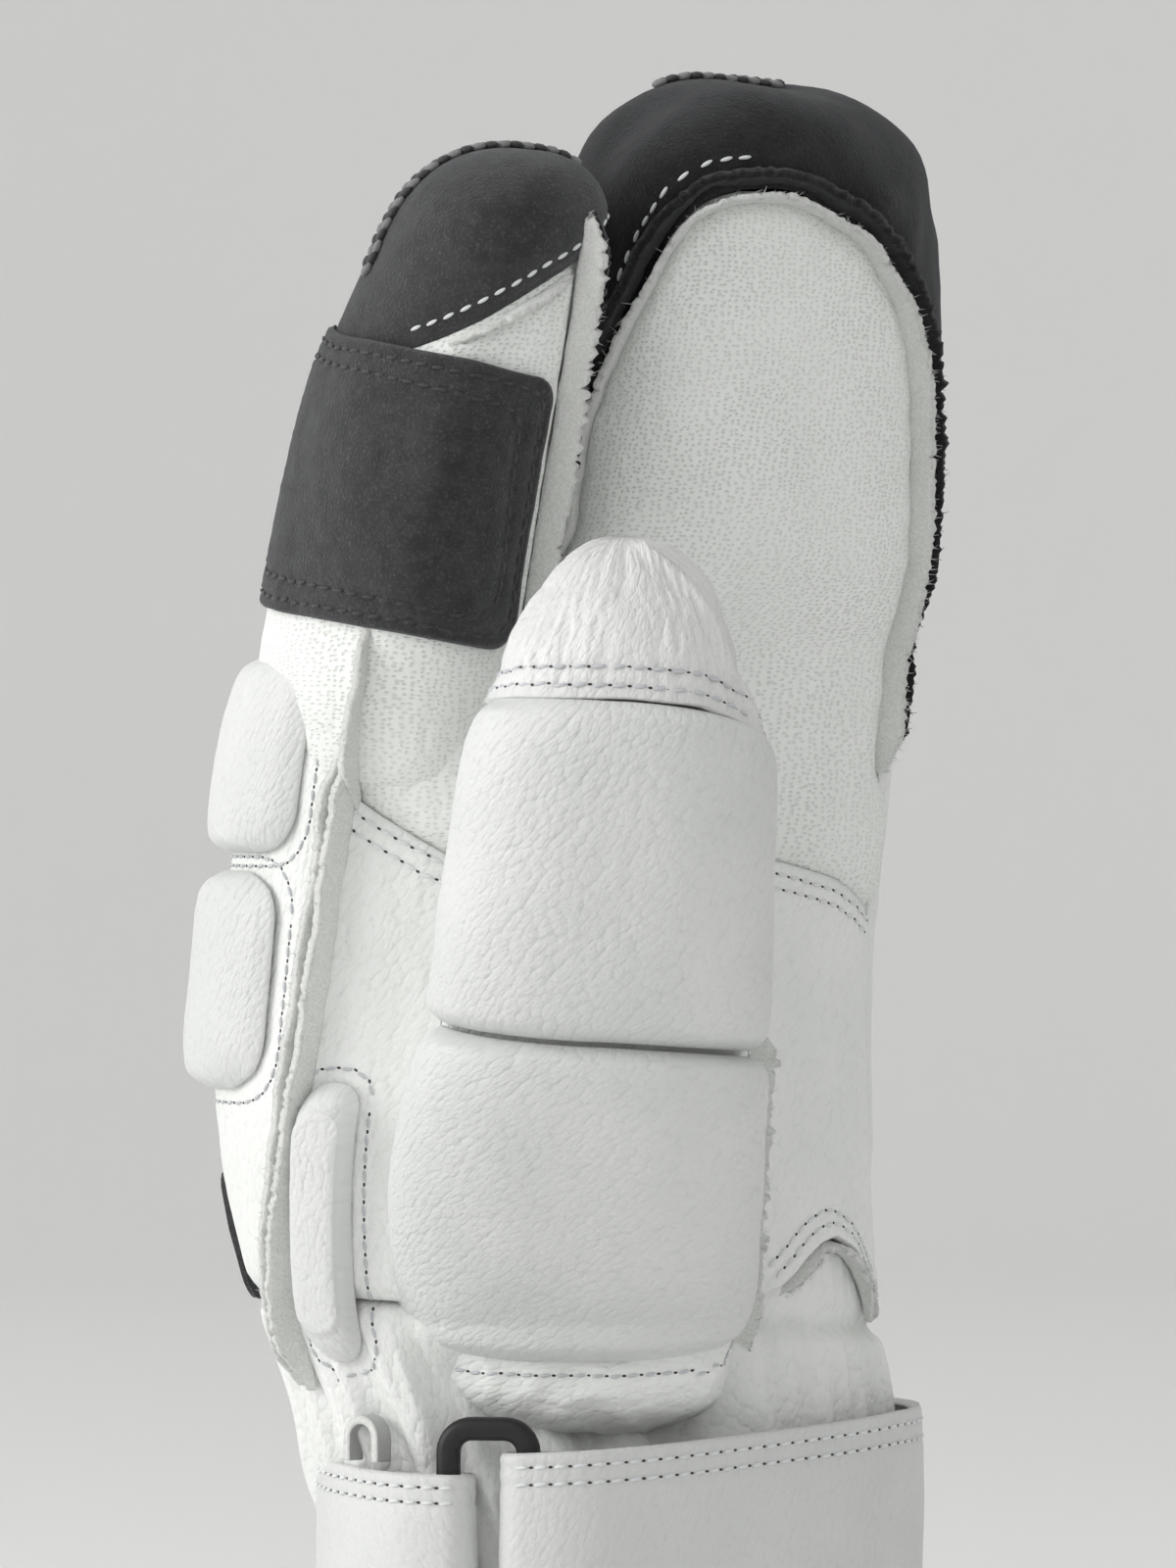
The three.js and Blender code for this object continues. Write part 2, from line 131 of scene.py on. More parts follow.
# Materials
class Wire:
    # A node's output in an expression. Numbers and other wires add their Math nodes.
    def __init__(self, finish, socket):
        self.finish = finish
        self.socket = socket

    def maths(self, operation, *others):
        made = self.finish.node("Math", {"operation": operation}, self, *others)
        return made.out("Value")

    def __add__(self, other):
        return self.maths("ADD", other)

    def __sub__(self, other):
        return self.maths("SUBTRACT", other)

    def __rsub__(self, other):
        return self.maths("MULTIPLY", -1).maths("ADD", other)

    def __mul__(self, other):
        return self.maths("MULTIPLY", other)

    def __pow__(self, other):
        return self.maths("POWER", other)

    def between(self, low, high):
        ramp = {"interpolation_type": "SMOOTHSTEP"}
        made = self.finish.node("MapRange", ramp, Value=self, **{"From Min": low, "From Max": high})
        return made.out("Result")

    __radd__ = __add__
    __rmul__ = __mul__


class Made:
    def __init__(self, finish, node):
        self.finish = finish
        self.node = node

    def out(self, name):
        return Wire(self.finish, self.node.outputs[name])


class Finish:
    # One material. A piece's own pattern reads Object coordinates, in metres, or its UV map.
    def __init__(self, name, **constants):
        self.material = bpy.data.materials.new(name)
        self.material.use_nodes = True
        self.tree = self.material.node_tree
        self.shader = self.tree.nodes["Principled BSDF"]
        for socket, value in constants.items():
            self.shader.inputs[socket.replace("_", " ")].default_value = value
        places = self.node("TexCoord", {})
        self.place = places.out("Object")
        self.chart = places.out("UV")

    def node(self, kind, settings, *inOrder, **named):
        node = self.tree.nodes.new("ShaderNode" + kind)
        for key, value in settings.items():
            setattr(node, key, value)
        for key, value in [*enumerate(inOrder), *named.items()]:
            if isinstance(value, Wire):
                self.tree.links.new(value.socket, node.inputs[key])
            else:
                node.inputs[key].default_value = value
        return Made(self, node)

    def noise(self, size, where=None, detail=3, roughness=0.55):
        made = self.node(
            "TexNoise", {}, Vector=where or self.place, Scale=1000 / size, Detail=detail, Roughness=roughness
        )
        return made.out("Fac")

    def cells(self, size, feature, where=None, randomness=1.0):
        made = self.node(
            "TexVoronoi", {"feature": feature, "voronoi_dimensions": "2D"}, Vector=where or self.chart,
            Scale=1000 / size, Randomness=randomness,
        )
        return made.out("Distance")

    def warped(self, size, amount, where=None):
        where = where or self.place
        swirl = self.node("TexNoise", {}, Vector=where, Scale=1000 / size, Detail=2).out("Color")
        centred = self.node("VectorMath", {"operation": "SUBTRACT"}, swirl, (0.5, 0.5, 0.5)).out("Vector")
        scaled = self.node("VectorMath", {"operation": "SCALE"}, centred, Scale=amount / 1000).out("Vector")
        return self.node("VectorMath", {"operation": "ADD"}, where, scaled).out("Vector")

    def stretched(self, where, x, y, z):
        return self.node("VectorMath", {"operation": "MULTIPLY"}, where, (x, y, z)).out("Vector")

    def mixed(self, share, low, high):
        made = self.node("Mix", {"data_type": "RGBA"}, Factor=share)
        for key, value in (("A_Color", low), ("B_Color", high)):
            socket = next(s for s in made.node.inputs if s.identifier == key)
            if isinstance(value, Wire):
                self.tree.links.new(value.socket, socket)
            else:
                socket.default_value = (*value, 1)
        return Wire(self, next(s for s in made.node.outputs if s.identifier == "Result_Color"))

    def attribute(self, name):
        return self.node("Attribute", {"attribute_name": name}).out("Fac")

    def finished(self, colour, roughness, height, depth, strength=1.0):
        bump = self.node("Bump", {}, Strength=strength, Distance=depth / 1000, Height=height)
        for socket, wire in (("Base Color", colour), ("Roughness", roughness), ("Normal", bump.out("Normal"))):
            self.tree.links.new(wire.socket, self.shader.inputs[socket])
        return self.material


def leather(name, light, shade, size, depth, gloss, fine=0.3, lines=0.06):
    # Grained hide: long soft pebbles in slanting rows, and a finer grain over them
    hide = Finish(name, IOR=1.45)
    bent = hide.warped(9, 1.1, hide.chart)
    turned = hide.node("VectorRotate", {"rotation_type": "Z_AXIS"}, Vector=bent, Angle=0.45).out("Vector")
    laid = hide.stretched(turned, 1.0, 0.62, 1.0)
    pebble = 1 - (hide.cells(size, "F1", laid, 0.85) * 1.3) ** 2
    small = 1 - (hide.cells(size * 0.45, "F1", laid) * 1.3) ** 2
    wrinkle = 1 - hide.cells(size * 3.2, "DISTANCE_TO_EDGE", laid).between(0.0, 0.1)
    patchy = hide.noise(9, detail=2).between(0.3, 0.7)
    grain = hide.noise(0.4, detail=3)
    broad = hide.noise(24, detail=2)
    seam = hide.attribute("seam")
    height = pebble * (patchy * 0.4 + 0.6) + small * fine + grain * 0.12 - wrinkle * patchy * lines
    # Valleys of the grain darken the colour: painted shade in the creases. The seam mark darkens it too: painted shade
    # and wear where the leather dips to its seams and stitch rows.
    valley = 1 - pebble.between(-0.1, 0.65)
    colour = hide.mixed(broad.between(0.3, 0.7) * 0.4 + valley * 0.16 + seam * 0.4, light, shade)
    roughness = broad * 0.1 + valley * 0.12 + gloss
    return hide.finished(colour, roughness, height, depth)


def rowedLeather(name, light, shade):
    # Face leather: short pores in wavy rows that follow the piece, with soft ripples between
    hide = Finish(name, IOR=1.45)
    bent = hide.warped(11, 2.6, hide.chart)
    rows = hide.stretched(bent, 0.72, 1.25, 1.0)
    pore = 1 - hide.cells(0.8, "F1", rows, 0.6).between(0.1, 0.33)
    pebble = 1 - (hide.cells(1.5, "F1", hide.stretched(bent, 1.0, 0.8, 1.0)) * 1.2) ** 2
    deeper = hide.noise(16, detail=2).between(0.35, 0.65)
    grain = hide.noise(0.4, detail=3)
    broad = hide.noise(26, detail=2)
    seam = hide.attribute("seam")
    height = pebble * (deeper * 0.4 + 0.2) - pore * (0.65 - deeper * 0.25) + grain * 0.12
    # Pores darken the colour: painted shade in their pits. The seam mark darkens it too: painted shade and wear along
    # the seams and stitch rows.
    colour = hide.mixed(broad.between(0.3, 0.7) * 0.3 + pore * 0.3 + seam * 0.35, light, shade)
    roughness = broad * 0.08 + pore * 0.2 + 0.5
    return hide.finished(colour, roughness, height, 0.2)


def napped(name, dark, pale, sheen):
    # Suede: a mottled short nap with pale flecks where fibres catch the light
    hide = Finish(name, Sheen_Weight=sheen, Sheen_Roughness=0.42, IOR=1.35)
    hide.shader.inputs["Sheen Tint"].default_value = (0.75, 0.77, 0.8, 1)
    fibre = hide.noise(0.42, detail=4, roughness=0.75)
    mottle = hide.noise(2.4, detail=3)
    broad = hide.noise(20, detail=2)
    fleck = fibre.between(0.5, 0.72)
    shadeAndWear = hide.attribute("seam")
    share = fleck * 0.45 + mottle.between(0.3, 0.7) * 0.12 + broad.between(0.35, 0.65) * 0.1 + shadeAndWear * 0.2
    return hide.finished(hide.mixed(share, dark, pale), 0.98 - fleck * 0.06, fibre + mottle * 0.5, 0.3)


# One white leather in lit and shaded copies: palm and face lighter, pad, tip and strap darker, as painted light and
# shade.
finishes = {
    "palm": leather("palm leather", (0.885, 0.895, 0.88), (0.74, 0.765, 0.74), 1.1, 0.16, 0.5),
    "pad": leather("pad leather", (0.745, 0.755, 0.745), (0.60, 0.62, 0.605), 0.85, 0.13, 0.46),
    "tip": leather("tip leather", (0.82, 0.825, 0.82), (0.66, 0.67, 0.66), 1.0, 0.13, 0.5, 0.4, 0.15),
    "strap": leather("strap leather", (0.71, 0.72, 0.71), (0.60, 0.61, 0.60), 0.9, 0.08, 0.42),
    "face": rowedLeather("face leather", (0.90, 0.915, 0.895), (0.66, 0.695, 0.66)),
    "suede": napped("dark suede", (0.025, 0.025, 0.026), (0.155, 0.155, 0.16), 0.4),
    "pouchSuede": napped("pouch suede", (0.010, 0.010, 0.011), (0.055, 0.055, 0.06), 0.3),
}


def plain(name, noise, colours, roughness, depth, limits=None, **constants):
    # One noise gives the colour, the roughness and the relief
    coat = Finish(name, **constants)
    pattern = coat.noise(**noise)
    share = pattern.between(*limits) if limits else pattern
    return coat.finished(coat.mixed(share, *colours), pattern * roughness[0] + roughness[1], pattern, depth)


def sewingThread(name, dark, light):
    return plain(name, {"size": 0.3, "detail": 2}, (dark, light), (0.15, 0.55), 0.05, Sheen_Weight=0.2)


def moulded():
    shell = Finish("moulded plastic", IOR=1.5)
    grain = shell.noise(0.35, detail=3)
    broad = shell.noise(8, detail=2)
    colour = shell.mixed(broad, (0.003, 0.003, 0.0035), (0.006, 0.006, 0.007))
    return shell.finished(colour, broad * 0.12 + 0.42, grain, 0.02)


finishes |= {
    "raw": plain(
        "raw leather edge", {"size": 0.35, "detail": 4, "roughness": 0.7}, ((0.74, 0.76, 0.73), (0.90, 0.91, 0.89)),
        (0.1, 0.85), 0.3, (0.35, 0.65), Sheen_Weight=0.4,
    ),
    "whiteThread": sewingThread("white thread", (0.66, 0.68, 0.70), (0.86, 0.87, 0.88)),
    "greyThread": sewingThread("grey thread", (0.46, 0.47, 0.50), (0.70, 0.71, 0.74)),
    "darkThread": sewingThread("dark thread and hole shade", (0.012, 0.012, 0.013), (0.05, 0.05, 0.055)),
    "cordThread": sewingThread("cord", (0.13, 0.13, 0.135), (0.27, 0.275, 0.28)),
    "plastic": moulded(),
    "lining": plain(
        "fleece lining", {"size": 0.9, "detail": 4, "roughness": 0.65}, ((0.10, 0.10, 0.105), (0.24, 0.24, 0.25)),
        (0.1, 0.88), 0.5, (0.3, 0.7), Sheen_Weight=0.5,
    ),
    "paper": plain(
        "studio paper", {"size": 600, "detail": 1}, ((0.885, 0.885, 0.88), (0.915, 0.915, 0.91)), (0.05, 0.85), 0.01,
    ),
}
print("materials")


# The glove's surfaces
def catmull(points, at):
    points = np.asarray(points, float)
    last = len(points) - 1
    run = np.vstack([2 * points[0] - points[1], points, 2 * points[-1] - points[-2]])
    at = np.clip(at, 0, last)
    i = np.minimum(np.floor(at).astype(int), last - 1)
    t = (at - i)[:, None]
    a, b, c, d = run[i], run[i + 1], run[i + 2], run[i + 3]
    start, end = (c - a) / 2, (d - b) / 2
    return b + start * t + (3 * (c - b) - 2 * start - end) * t**2 + (2 * (b - c) + start + end) * t**3


def smoothRows(rows, steps=400):
    return catmull(rows, np.linspace(0, len(rows) - 1, steps))


def power(value, exponent):
    return np.sign(value) * np.abs(value) ** exponent


class Tube:
    # A row is a level cross-section: height, centre x and y, half width, half depth and squareness.
    def __init__(self, rows, tipLength, tipLean, tipSquare, turn=0):
        rows = np.array(rows, float)
        turned = math.radians(turn)
        self.across = np.array([math.cos(turned), math.sin(turned), 0])
        self.depth = np.array([-math.sin(turned), math.cos(turned), 0])
        self.centres = rows[:, 1:2] * self.across + rows[:, 2:3] * self.depth + rows[:, :1] * upwards
        self.sizes = rows[:, 3:6]
        self.last = len(rows) - 1
        self.tipLength, self.tipLean, self.tipSquare = tipLength, tipLean, tipSquare
        self.levels = np.linspace(0, self.last + 1, 4001)
        self.heights = self.skin(np.zeros(4001), self.levels)[:, 2]
        steps = np.linalg.norm(np.diff(self.skin(np.full(4001, 270.0), self.levels), axis=0), axis=1)
        self.climbed = np.r_[0, np.cumsum(steps)]
        self.girth = 2 * math.pi * self.sizes[:, :2].mean()

    def level(self, height):
        return np.interp(height, self.heights, self.levels)

    def skin(self, angle, level, lift=0.0):
        angle, level, lift = np.broadcast_arrays(angle, level, lift)
        along = np.minimum(level, self.last)
        centre, size = catmull(self.centres, along), catmull(self.sizes, along)
        rise = np.pi / 2 * clamped(level - self.last)
        shrink = clamped(np.cos(rise)) ** (2 / self.tipSquare)
        climb = np.sin(rise) ** (2 / self.tipSquare)
        turned = np.radians(angle)
        sideways = power(np.cos(turned), 2 / size[:, 2]) * (size[:, 0] + lift) * shrink
        backwards = power(np.sin(turned), 2 / size[:, 2]) * (size[:, 1] + lift) * shrink
        return (
            centre
            + (sideways + self.tipLean[0] * climb)[:, None] * self.across
            + (backwards + self.tipLean[1] * climb)[:, None] * self.depth
            + (climb * (self.tipLength + lift))[:, None] * upwards
        )

    def at(self, angle, height, lift=0.0):
        angle, height = np.broadcast_arrays(np.asarray(angle, float), np.asarray(height, float))
        return self.skin(angle, self.level(height), lift)

    # Millimetres round the tube from the back of the hand, and up it
    def chart(self, points):
        level = self.level(points[:, 2])
        along = np.minimum(level, self.last)
        away, size = points - catmull(self.centres, along), catmull(self.sizes, along)
        turned = np.degrees(np.arctan2(away @ self.depth / size[:, 1], away @ self.across / size[:, 0]))
        climbed = np.interp(level, self.levels, self.climbed)
        return np.stack([(turned - 90) % 360 / 360 * self.girth, climbed], axis=1)

    # How far inside the tube's wall a point is, from 1 at the middle to 0 at the wall and below 0 outside
    def inside(self, points):
        level = np.minimum(self.level(points[:, 2]), self.last)
        centre, size = catmull(self.centres, level), catmull(self.sizes, level)
        away = points - centre
        x, y = away @ self.across / size[:, 0], away @ self.depth / size[:, 1]
        radius = (np.abs(x) ** size[:, 2] + np.abs(y) ** size[:, 2]) ** (1 / size[:, 2])
        within = (points[:, 2] > self.heights[0]) & (points[:, 2] < self.heights[-1] - 4)
        return np.where(within, 1 - radius, -1)


hand = Tube(
    [
        (0, 7, -9, 54, 38, 2.1), (22, 7, -9, 49, 34, 2.1), (45, 7.5, -9, 41.5, 29.2, 2.2),
        (66, 7.5, -9, 39.8, 28.2, 2.3), (86, 4.2, -8, 42.8, 27.5, 2.3), (104, 2, -4, 46.3, 28, 2.4),
        (126, 1, -1.5, 49, 28, 2.4), (146, 1, -2.5, 48.5, 28, 2.4), (165, 2, -4.5, 48.5, 27.5, 2.4),
        (180, 2.7, -7, 48, 26.5, 2.4), (187, 4.3, -8.5, 46, 26, 2.4), (193, 10.6, -11.5, 39, 25, 2.4),
        (200, 16.2, -14, 32.8, 24, 2.4), (215, 18.4, -17.5, 30.4, 22, 2.4), (229, 19.5, -20.5, 29.2, 20.5, 2.4),
        (240, 19.2, -22, 28.2, 20, 2.4),
    ],
    tipLength=24, tipLean=(-2, -2.5), tipSquare=2.2,
)
index = Tube(
    [
        (165, -31, -7, 13, 18, 2.3), (183, -32.5, -10.5, 15, 19, 2.3), (200, -32.3, -15, 15.2, 18.2, 2.3),
        (223, -30.5, -21, 15, 17.8, 2.3), (239, -27.5, -25.5, 13.8, 16.4, 2.2),
    ],
    tipLength=13.5, tipLean=(2.5, -2), tipSquare=2.1,
)
thumb = Tube(
    [
        (82, 6.5, -10, 17, 13, 2.2), (97, 5.5, -22, 21, 17, 2.4), (112, 5.2, -35, 22.3, 18.5, 2.5),
        (126, 6, -46, 22, 18.5, 2.5), (140, 8.3, -54, 20.3, 17.5, 2.5), (156, 9.6, -60, 19.2, 16.5, 2.5),
        (172, 11, -64, 18, 15.5, 2.5), (184, 11.8, -66, 15.6, 14.5, 2.4),
    ],
    tipLength=17, tipLean=(0, 1), tipSquare=2.1, turn=-38,
)

# Panel edges: height and the angles where the panel begins and ends
facePanel = smoothRows([
    (140, 197, 330), (170, 199, 320), (180, 199, 319.5), (187, 199, 318), (193, 199.5, 314.5), (200, 200, 311),
    (210, 196, 307), (219, 192, 303), (231, 202, 293), (239, 212, 281), (243.5, 221, 272), (246.3, 230.5, 264),
    (247.6, 241, 255),
])
palmPanel = smoothRows([(80, 168, 334), (92, 172, 332), (111, 182, 330), (131, 193, 326), (180, 199, 322)])
backPanel = smoothRows([
    (92, -28, 172), (111, -30, 182), (131, -34, 193), (160, -39, 199), (172, -36, 199), (186, 0, 199),
    (198, 22, 194), (208, 36, 160), (218, 52, 130), (226, 68, 112),
])


def slopedHeight(tube, angle, height, slope):
    # The height at which a sloped seam crosses a tube's skin at an angle
    z = np.full(np.shape(angle), float(height))
    for _ in range(8):
        z = height + math.tan(math.radians(slope)) * tube.at(angle, z)[:, 0]
    return z


def wristSeam(angle):
    return slopedHeight(hand, angle, 99, -4)


def palmSeam(angle):
    return np.interp(angle, [180, 198, 212, 226, 240, 262, 285, 303, 320, 334],
                     [170, 169, 164.6, 160.2, 158.3, 158.6, 159, 156.4, 152.4, 150])


def thumbSeam(angle):
    return np.interp(np.mod(angle, 360), [0, 40, 90, 180, 225, 270, 300, 325, 350, 360],
                     [173.6, 176, 178.5, 179.6, 180.2, 180.2, 179.2, 176.8, 174, 173.6])


def indexSeam(angle):
    return slopedHeight(index, angle, 251, 30)


# Smooth noise that repeats exactly: gradients come from a hash of the cell and the seed.
def drift(points, size, seed=0):
    size = np.broadcast_to(np.asarray(size, float), (points.shape[1],))
    at = points / size
    cell = np.floor(at).astype(np.int64)
    part = at - cell
    fade = part**3 * (part * (part * 6 - 15) + 10)
    total = 0
    for corner in np.ndindex(*(2,) * points.shape[1]):
        key = np.full(len(points), seed * 7919 + 17, np.int64)
        for axis, step in enumerate(corner):
            key = (key * 73856093 + (cell[:, axis] + step) * (19349663 + 2 * axis)) & 0x7FFFFFFF
            key ^= key >> 13
        slope, weight = 0, 1
        for axis, step in enumerate(corner):
            key = (key * 1103515245 + 12345) & 0x7FFFFFFF
            slope = slope + (key / 0x3FFFFFFF - 1) * (part[:, axis] - step)
            weight = weight * (fade[:, axis] if step else 1 - fade[:, axis])
        total = total + slope * weight
    return total * 1.4


def ridges(points, size, seed=0):
    # Soft folds: sharp valleys between rounded backs
    return 1 - 2 * np.abs(drift(points, size, seed)) ** 0.7


class Line:
    # A seam or row of stitches on the glove, as points about half a millimetre apart
    def __init__(self, points):
        run = pathLengths(points)
        self.length = run[-1]
        self.along = np.linspace(0, self.length, max(int(self.length / 0.5), 2))
        self.points = alongPath(self.along, run, points)
        self.tree = KDTree(len(self.points))
        for i, point in enumerate(self.points):
            self.tree.insert(point, i)
        self.tree.balance()

    def spot(self, at):
        return alongPath(at, self.along, self.points)

    def near(self, points):
        found = [self.tree.find(point) for point in points]
        distance = np.array([f[2] for f in found])
        return distance, self.along[[f[1] for f in found]]


def lineOn(tube, route, smooth=True, lift=0.0):
    route = np.array(route, float)
    steps = np.linspace(0, len(route) - 1, 400)
    dense = catmull(route, steps) if smooth else alongPath(steps, np.arange(len(route)), route)
    return Line(tube.at(dense[:, 0], dense[:, 1], lift))


def seamRoute(height, low, high):
    angle = np.linspace(low, high, 120)
    return np.stack([angle, height(angle)], axis=1)


# Leather's relief near its seams: it rolls down to them and gathers beside the thread. It also returns a mark along the
# seams and stitch rows, which the finishes use as painted shade and wear.
def relief(points, seams, rows=(), dip=1.1, roll=1.5, pucker=0.25, pitch=3.0, reach=6, groove=0.28, seed=1):
    depth = np.zeros(len(points))
    shadeAndWear = np.zeros(len(points))
    for k, seam in enumerate(seams):
        distance, along = seam.near(points)
        depth -= dip * bell(distance, roll)
        gather = drift(np.stack([along, distance * 0.25], axis=1), (pitch, 4), seed + k)
        depth += pucker * gather * np.exp(-distance / reach) * (1 - np.exp(-distance))
        shadeAndWear = np.maximum(shadeAndWear, np.exp(-distance / 1.1))
    for row in rows:
        distance, along = row.near(points)
        depth -= groove * bell(distance, 0.75) * (0.75 + 0.25 * np.cos(along * 2 * np.pi / 2.6))
        shadeAndWear = np.maximum(shadeAndWear, 0.35 * bell(distance, 0.7))
    return depth, shadeAndWear


surfaces = {}


def fetch(items, key, width=1, kind=float):
    values = np.empty(len(items) * width, kind)
    items.foreach_get(key, values)
    return values.reshape(-1, width) if width > 1 else values


def keepOn(mesh, key, values):
    mesh.attributes.new(key, "FLOAT", "POINT").data.foreach_set("value", values.astype(np.float32))


# A sheet of leather: a grid laid on the glove by place(u, v), then moved along its own normals by
# shape(points, u, v), which also gives each point's mark of painted shade and wear, kept as the seam attribute.
def sheet(name, grid, place, shape=None, *, thickness=1.6, finish="palm", slot="white_leather", nodes=(),
          wrap="", keep=None, chart=(100, 100), rim=None):
    form = bmesh.new()
    bmesh.ops.create_grid(form, x_segments=grid[0], y_segments=grid[1], size=0.5)
    mesh = bpy.data.meshes.new(name)
    form.to_mesh(mesh)
    form.free()
    u, v = fetch(mesh.vertices, "co", 3).T[:2] + 0.5
    mesh.vertices.foreach_set("co", np.asarray(place(u, v), float).ravel())
    corners = fetch(mesh.loops, "vertex_index", 1, int)
    if isinstance(chart, tuple):
        uv = mesh.uv_layers.new(name="UVMap")
        uv.data.foreach_set("uv", np.stack([u * chart[0], v * chart[1]], axis=1)[corners].ravel() / 1000)
    keepOn(mesh, "gridU", u)
    keepOn(mesh, "gridV", v)
    form = bmesh.new()
    form.from_mesh(mesh)
    if wrap:
        bmesh.ops.remove_doubles(form, verts=form.verts, dist=0.004)
        bmesh.ops.dissolve_degenerate(form, dist=0.002, edges=form.edges)
    if keep is not None:
        middles = np.array([face.calc_center_median() for face in form.faces])
        gone = [face for face, kept in zip(form.faces, keep(middles)) if not kept]
        bmesh.ops.delete(form, geom=gone, context="FACES")
    form.to_mesh(mesh)
    form.free()
    mesh.update()
    points = fetch(mesh.vertices, "co", 3)
    u, v = (fetch(mesh.attributes[key].data, "value") for key in ("gridU", "gridV"))
    normals = fetch(mesh.vertex_normals, "vector", 3)
    outside = place(u, v, 1.0) - place(u, v, 0.0)
    if (normals * outside).sum() < 0:
        normals = -normals
        mesh.flip_normals()
    if isinstance(chart, Tube):
        # each face's UVs stay on one side of the chart's own seam
        flat = chart.chart(points)[fetch(mesh.loops, "vertex_index", 1, int)]
        starts, totals = (fetch(mesh.polygons, key, 1, int) for key in ("loop_start", "loop_total"))
        first = np.repeat(flat[starts, 0], totals)
        flat[:, 0] += np.round((first - flat[:, 0]) / chart.girth) * chart.girth
        mesh.uv_layers.new(name="UVMap").data.foreach_set("uv", flat.ravel() / 1000)
    shadeAndWear = np.zeros(len(points))
    if shape is not None:
        rise, shadeAndWear = shape(points, u, v)
        points = points + normals * rise[:, None]
    mesh.vertices.foreach_set("co", points.ravel())
    surfaces[name] = BVHTree.FromPolygons(points.tolist(), [list(p.vertices) for p in mesh.polygons])
    keepOn(mesh, "seam", shadeAndWear)
    for key in ("gridU", "gridV"):
        mesh.attributes.remove(mesh.attributes[key])
    return finishPiece(name, mesh, finish, slot, nodes, thickness, rim)


def finishPiece(name, mesh, finish, slot, nodes=(), thickness=0.0, rim=None):
    mesh.vertices.foreach_set("co", toMetres(fetch(mesh.vertices, "co", 3)).ravel())
    mesh.polygons.foreach_set("use_smooth", np.ones(len(mesh.polygons), bool))
    mesh.update()
    for material in (finishes[finish], finishes[rim or finish], finishes["lining"]):
        mesh.materials.append(material)
    piece = bpy.data.objects.new(name, mesh)
    scene.collection.objects.link(piece)
    if thickness:
        wall = piece.modifiers.new("wall", "SOLIDIFY")
        wall.thickness = thickness / 1000
        wall.offset = -1
        wall.material_offset = 2 if thickness > 1.5 else 0
        wall.material_offset_rim = 1
    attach(piece, "root")
    if nodes:
        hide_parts(*nodes)
    return piece


def panelPlace(tube, panel, foot, head):
    # Maps a panel's grid to its skin, between a foot and a head that depend on the angle.
    def place(u, v, lift=0.0):
        height = panel[0, 0] + (panel[-1, 0] - panel[0, 0]) * v
        for _ in range(6):
            start = np.interp(height, panel[:, 0], panel[:, 1])
            end = np.interp(height, panel[:, 0], panel[:, 2])
            angle = start + (end - start) * u
            low = foot(angle) if callable(foot) else foot
            high = head(angle) if callable(head) else head
            height = low + (high - low) * v
        return tube.at(angle, height, lift)

    return place


def farFrom(tube, depth):
    return lambda middles: tube.inside(middles) < depth


print("surfaces")


# Seams and rows of stitches that the leather dips to
def arch(panel, rightLow, leftLow):
    # A panel's whole edge: up its far side, over the top and down its near side
    far = [(row[2], row[0]) for row in panel if row[0] >= rightLow]
    near = [(row[1], row[0]) for row in panel[::-1] if row[0] >= leftLow]
    return np.array(far + near)


faceArch = arch(facePanel, 171, 190)
hoodBackRoute = arch(backPanel, 192, 172)[::-1]
seams = {
    "face": lineOn(hand, faceArch, smooth=False),
    "palmHead": lineOn(hand, seamRoute(palmSeam, 190, 330)),
    "palmNear": lineOn(hand, palmPanel[palmPanel[:, 0] > 90][:, [1, 0]]),
    "palmFar": lineOn(hand, palmPanel[palmPanel[:, 0] > 90][:, [2, 0]]),
    "wrist": lineOn(hand, seamRoute(wristSeam, 0, 360)),
    "indexHead": lineOn(index, seamRoute(indexSeam, 0, 360)),
    "indexSide": lineOn(index, [(284, 241), (292, 228), (300, 210), (304, 190)]),
    "thumbHead": lineOn(thumb, seamRoute(thumbSeam, 0, 360)),
    "hoodBack": lineOn(hand, hoodBackRoute, smooth=False),
}


def shifted(route, tube, offset):
    # A row of stitches beside a route, offset millimetres to its left on the skin
    route = np.array(route, float)
    points = tube.at(route[:, 0], route[:, 1])
    ahead = np.gradient(points, axis=0)
    outwards = tube.at(route[:, 0], route[:, 1], 1.0) - points
    return Line(points + unit(np.cross(outwards, ahead)) * offset)


palmRows = [shifted(seamRoute(palmSeam, 197, 322), hand, k) for k in (-1.5, -3.6)]
wristArc = np.array([
    (284, 102.2), (287.5, 104), (291, 106), (295, 107.8), (300, 108.6), (308, 106.5), (316, 101.8), (322, 97.5),
])
wristArcDense = smoothRows(wristArc, 160)
arcRows = [shifted(wristArcDense, hand, k) for k in (1.5, 3.4)]
thumbHeadRows = [shifted(seamRoute(thumbSeam, 178, 362), thumb, k) for k in (3.9, 1.5)]


# The hand's leather
def palmFoot(angle):
    # the palm ends at the wrist's seam, or higher where the arc is cut out of it
    arc = np.vstack([(255, 96), wristArc[:-1], (323, 97)])
    return np.maximum(wristSeam(angle), np.interp(angle, arc[:, 0], arc[:, 1]))


def clearOfFingers(depth):
    def keep(middles):
        return (thumb.inside(middles) < depth) & (index.inside(middles) < depth)

    return keep


def thumbRise(points):
    # The leather climbs from the side seam to the thumb instead of lying flat beside it
    angle = np.degrees(np.arctan2(points[:, 1] + 3, points[:, 0] - 2)) % 360
    high = clamped((points[:, 2] - 100) / 14) * clamped((186 - points[:, 2]) / 22)
    start = clamped((angle - 200) / 34)
    return 5.5 * start * start * (3 - 2 * start) * high * clamped((262 - angle) / 12)


palm = {"wear": {"dip": 0.9, "roll": 1.3, "pucker": 0.3, "pitch": 3.4, "reach": 6}, "arcRoll": 0.9, "folds": 0.5}


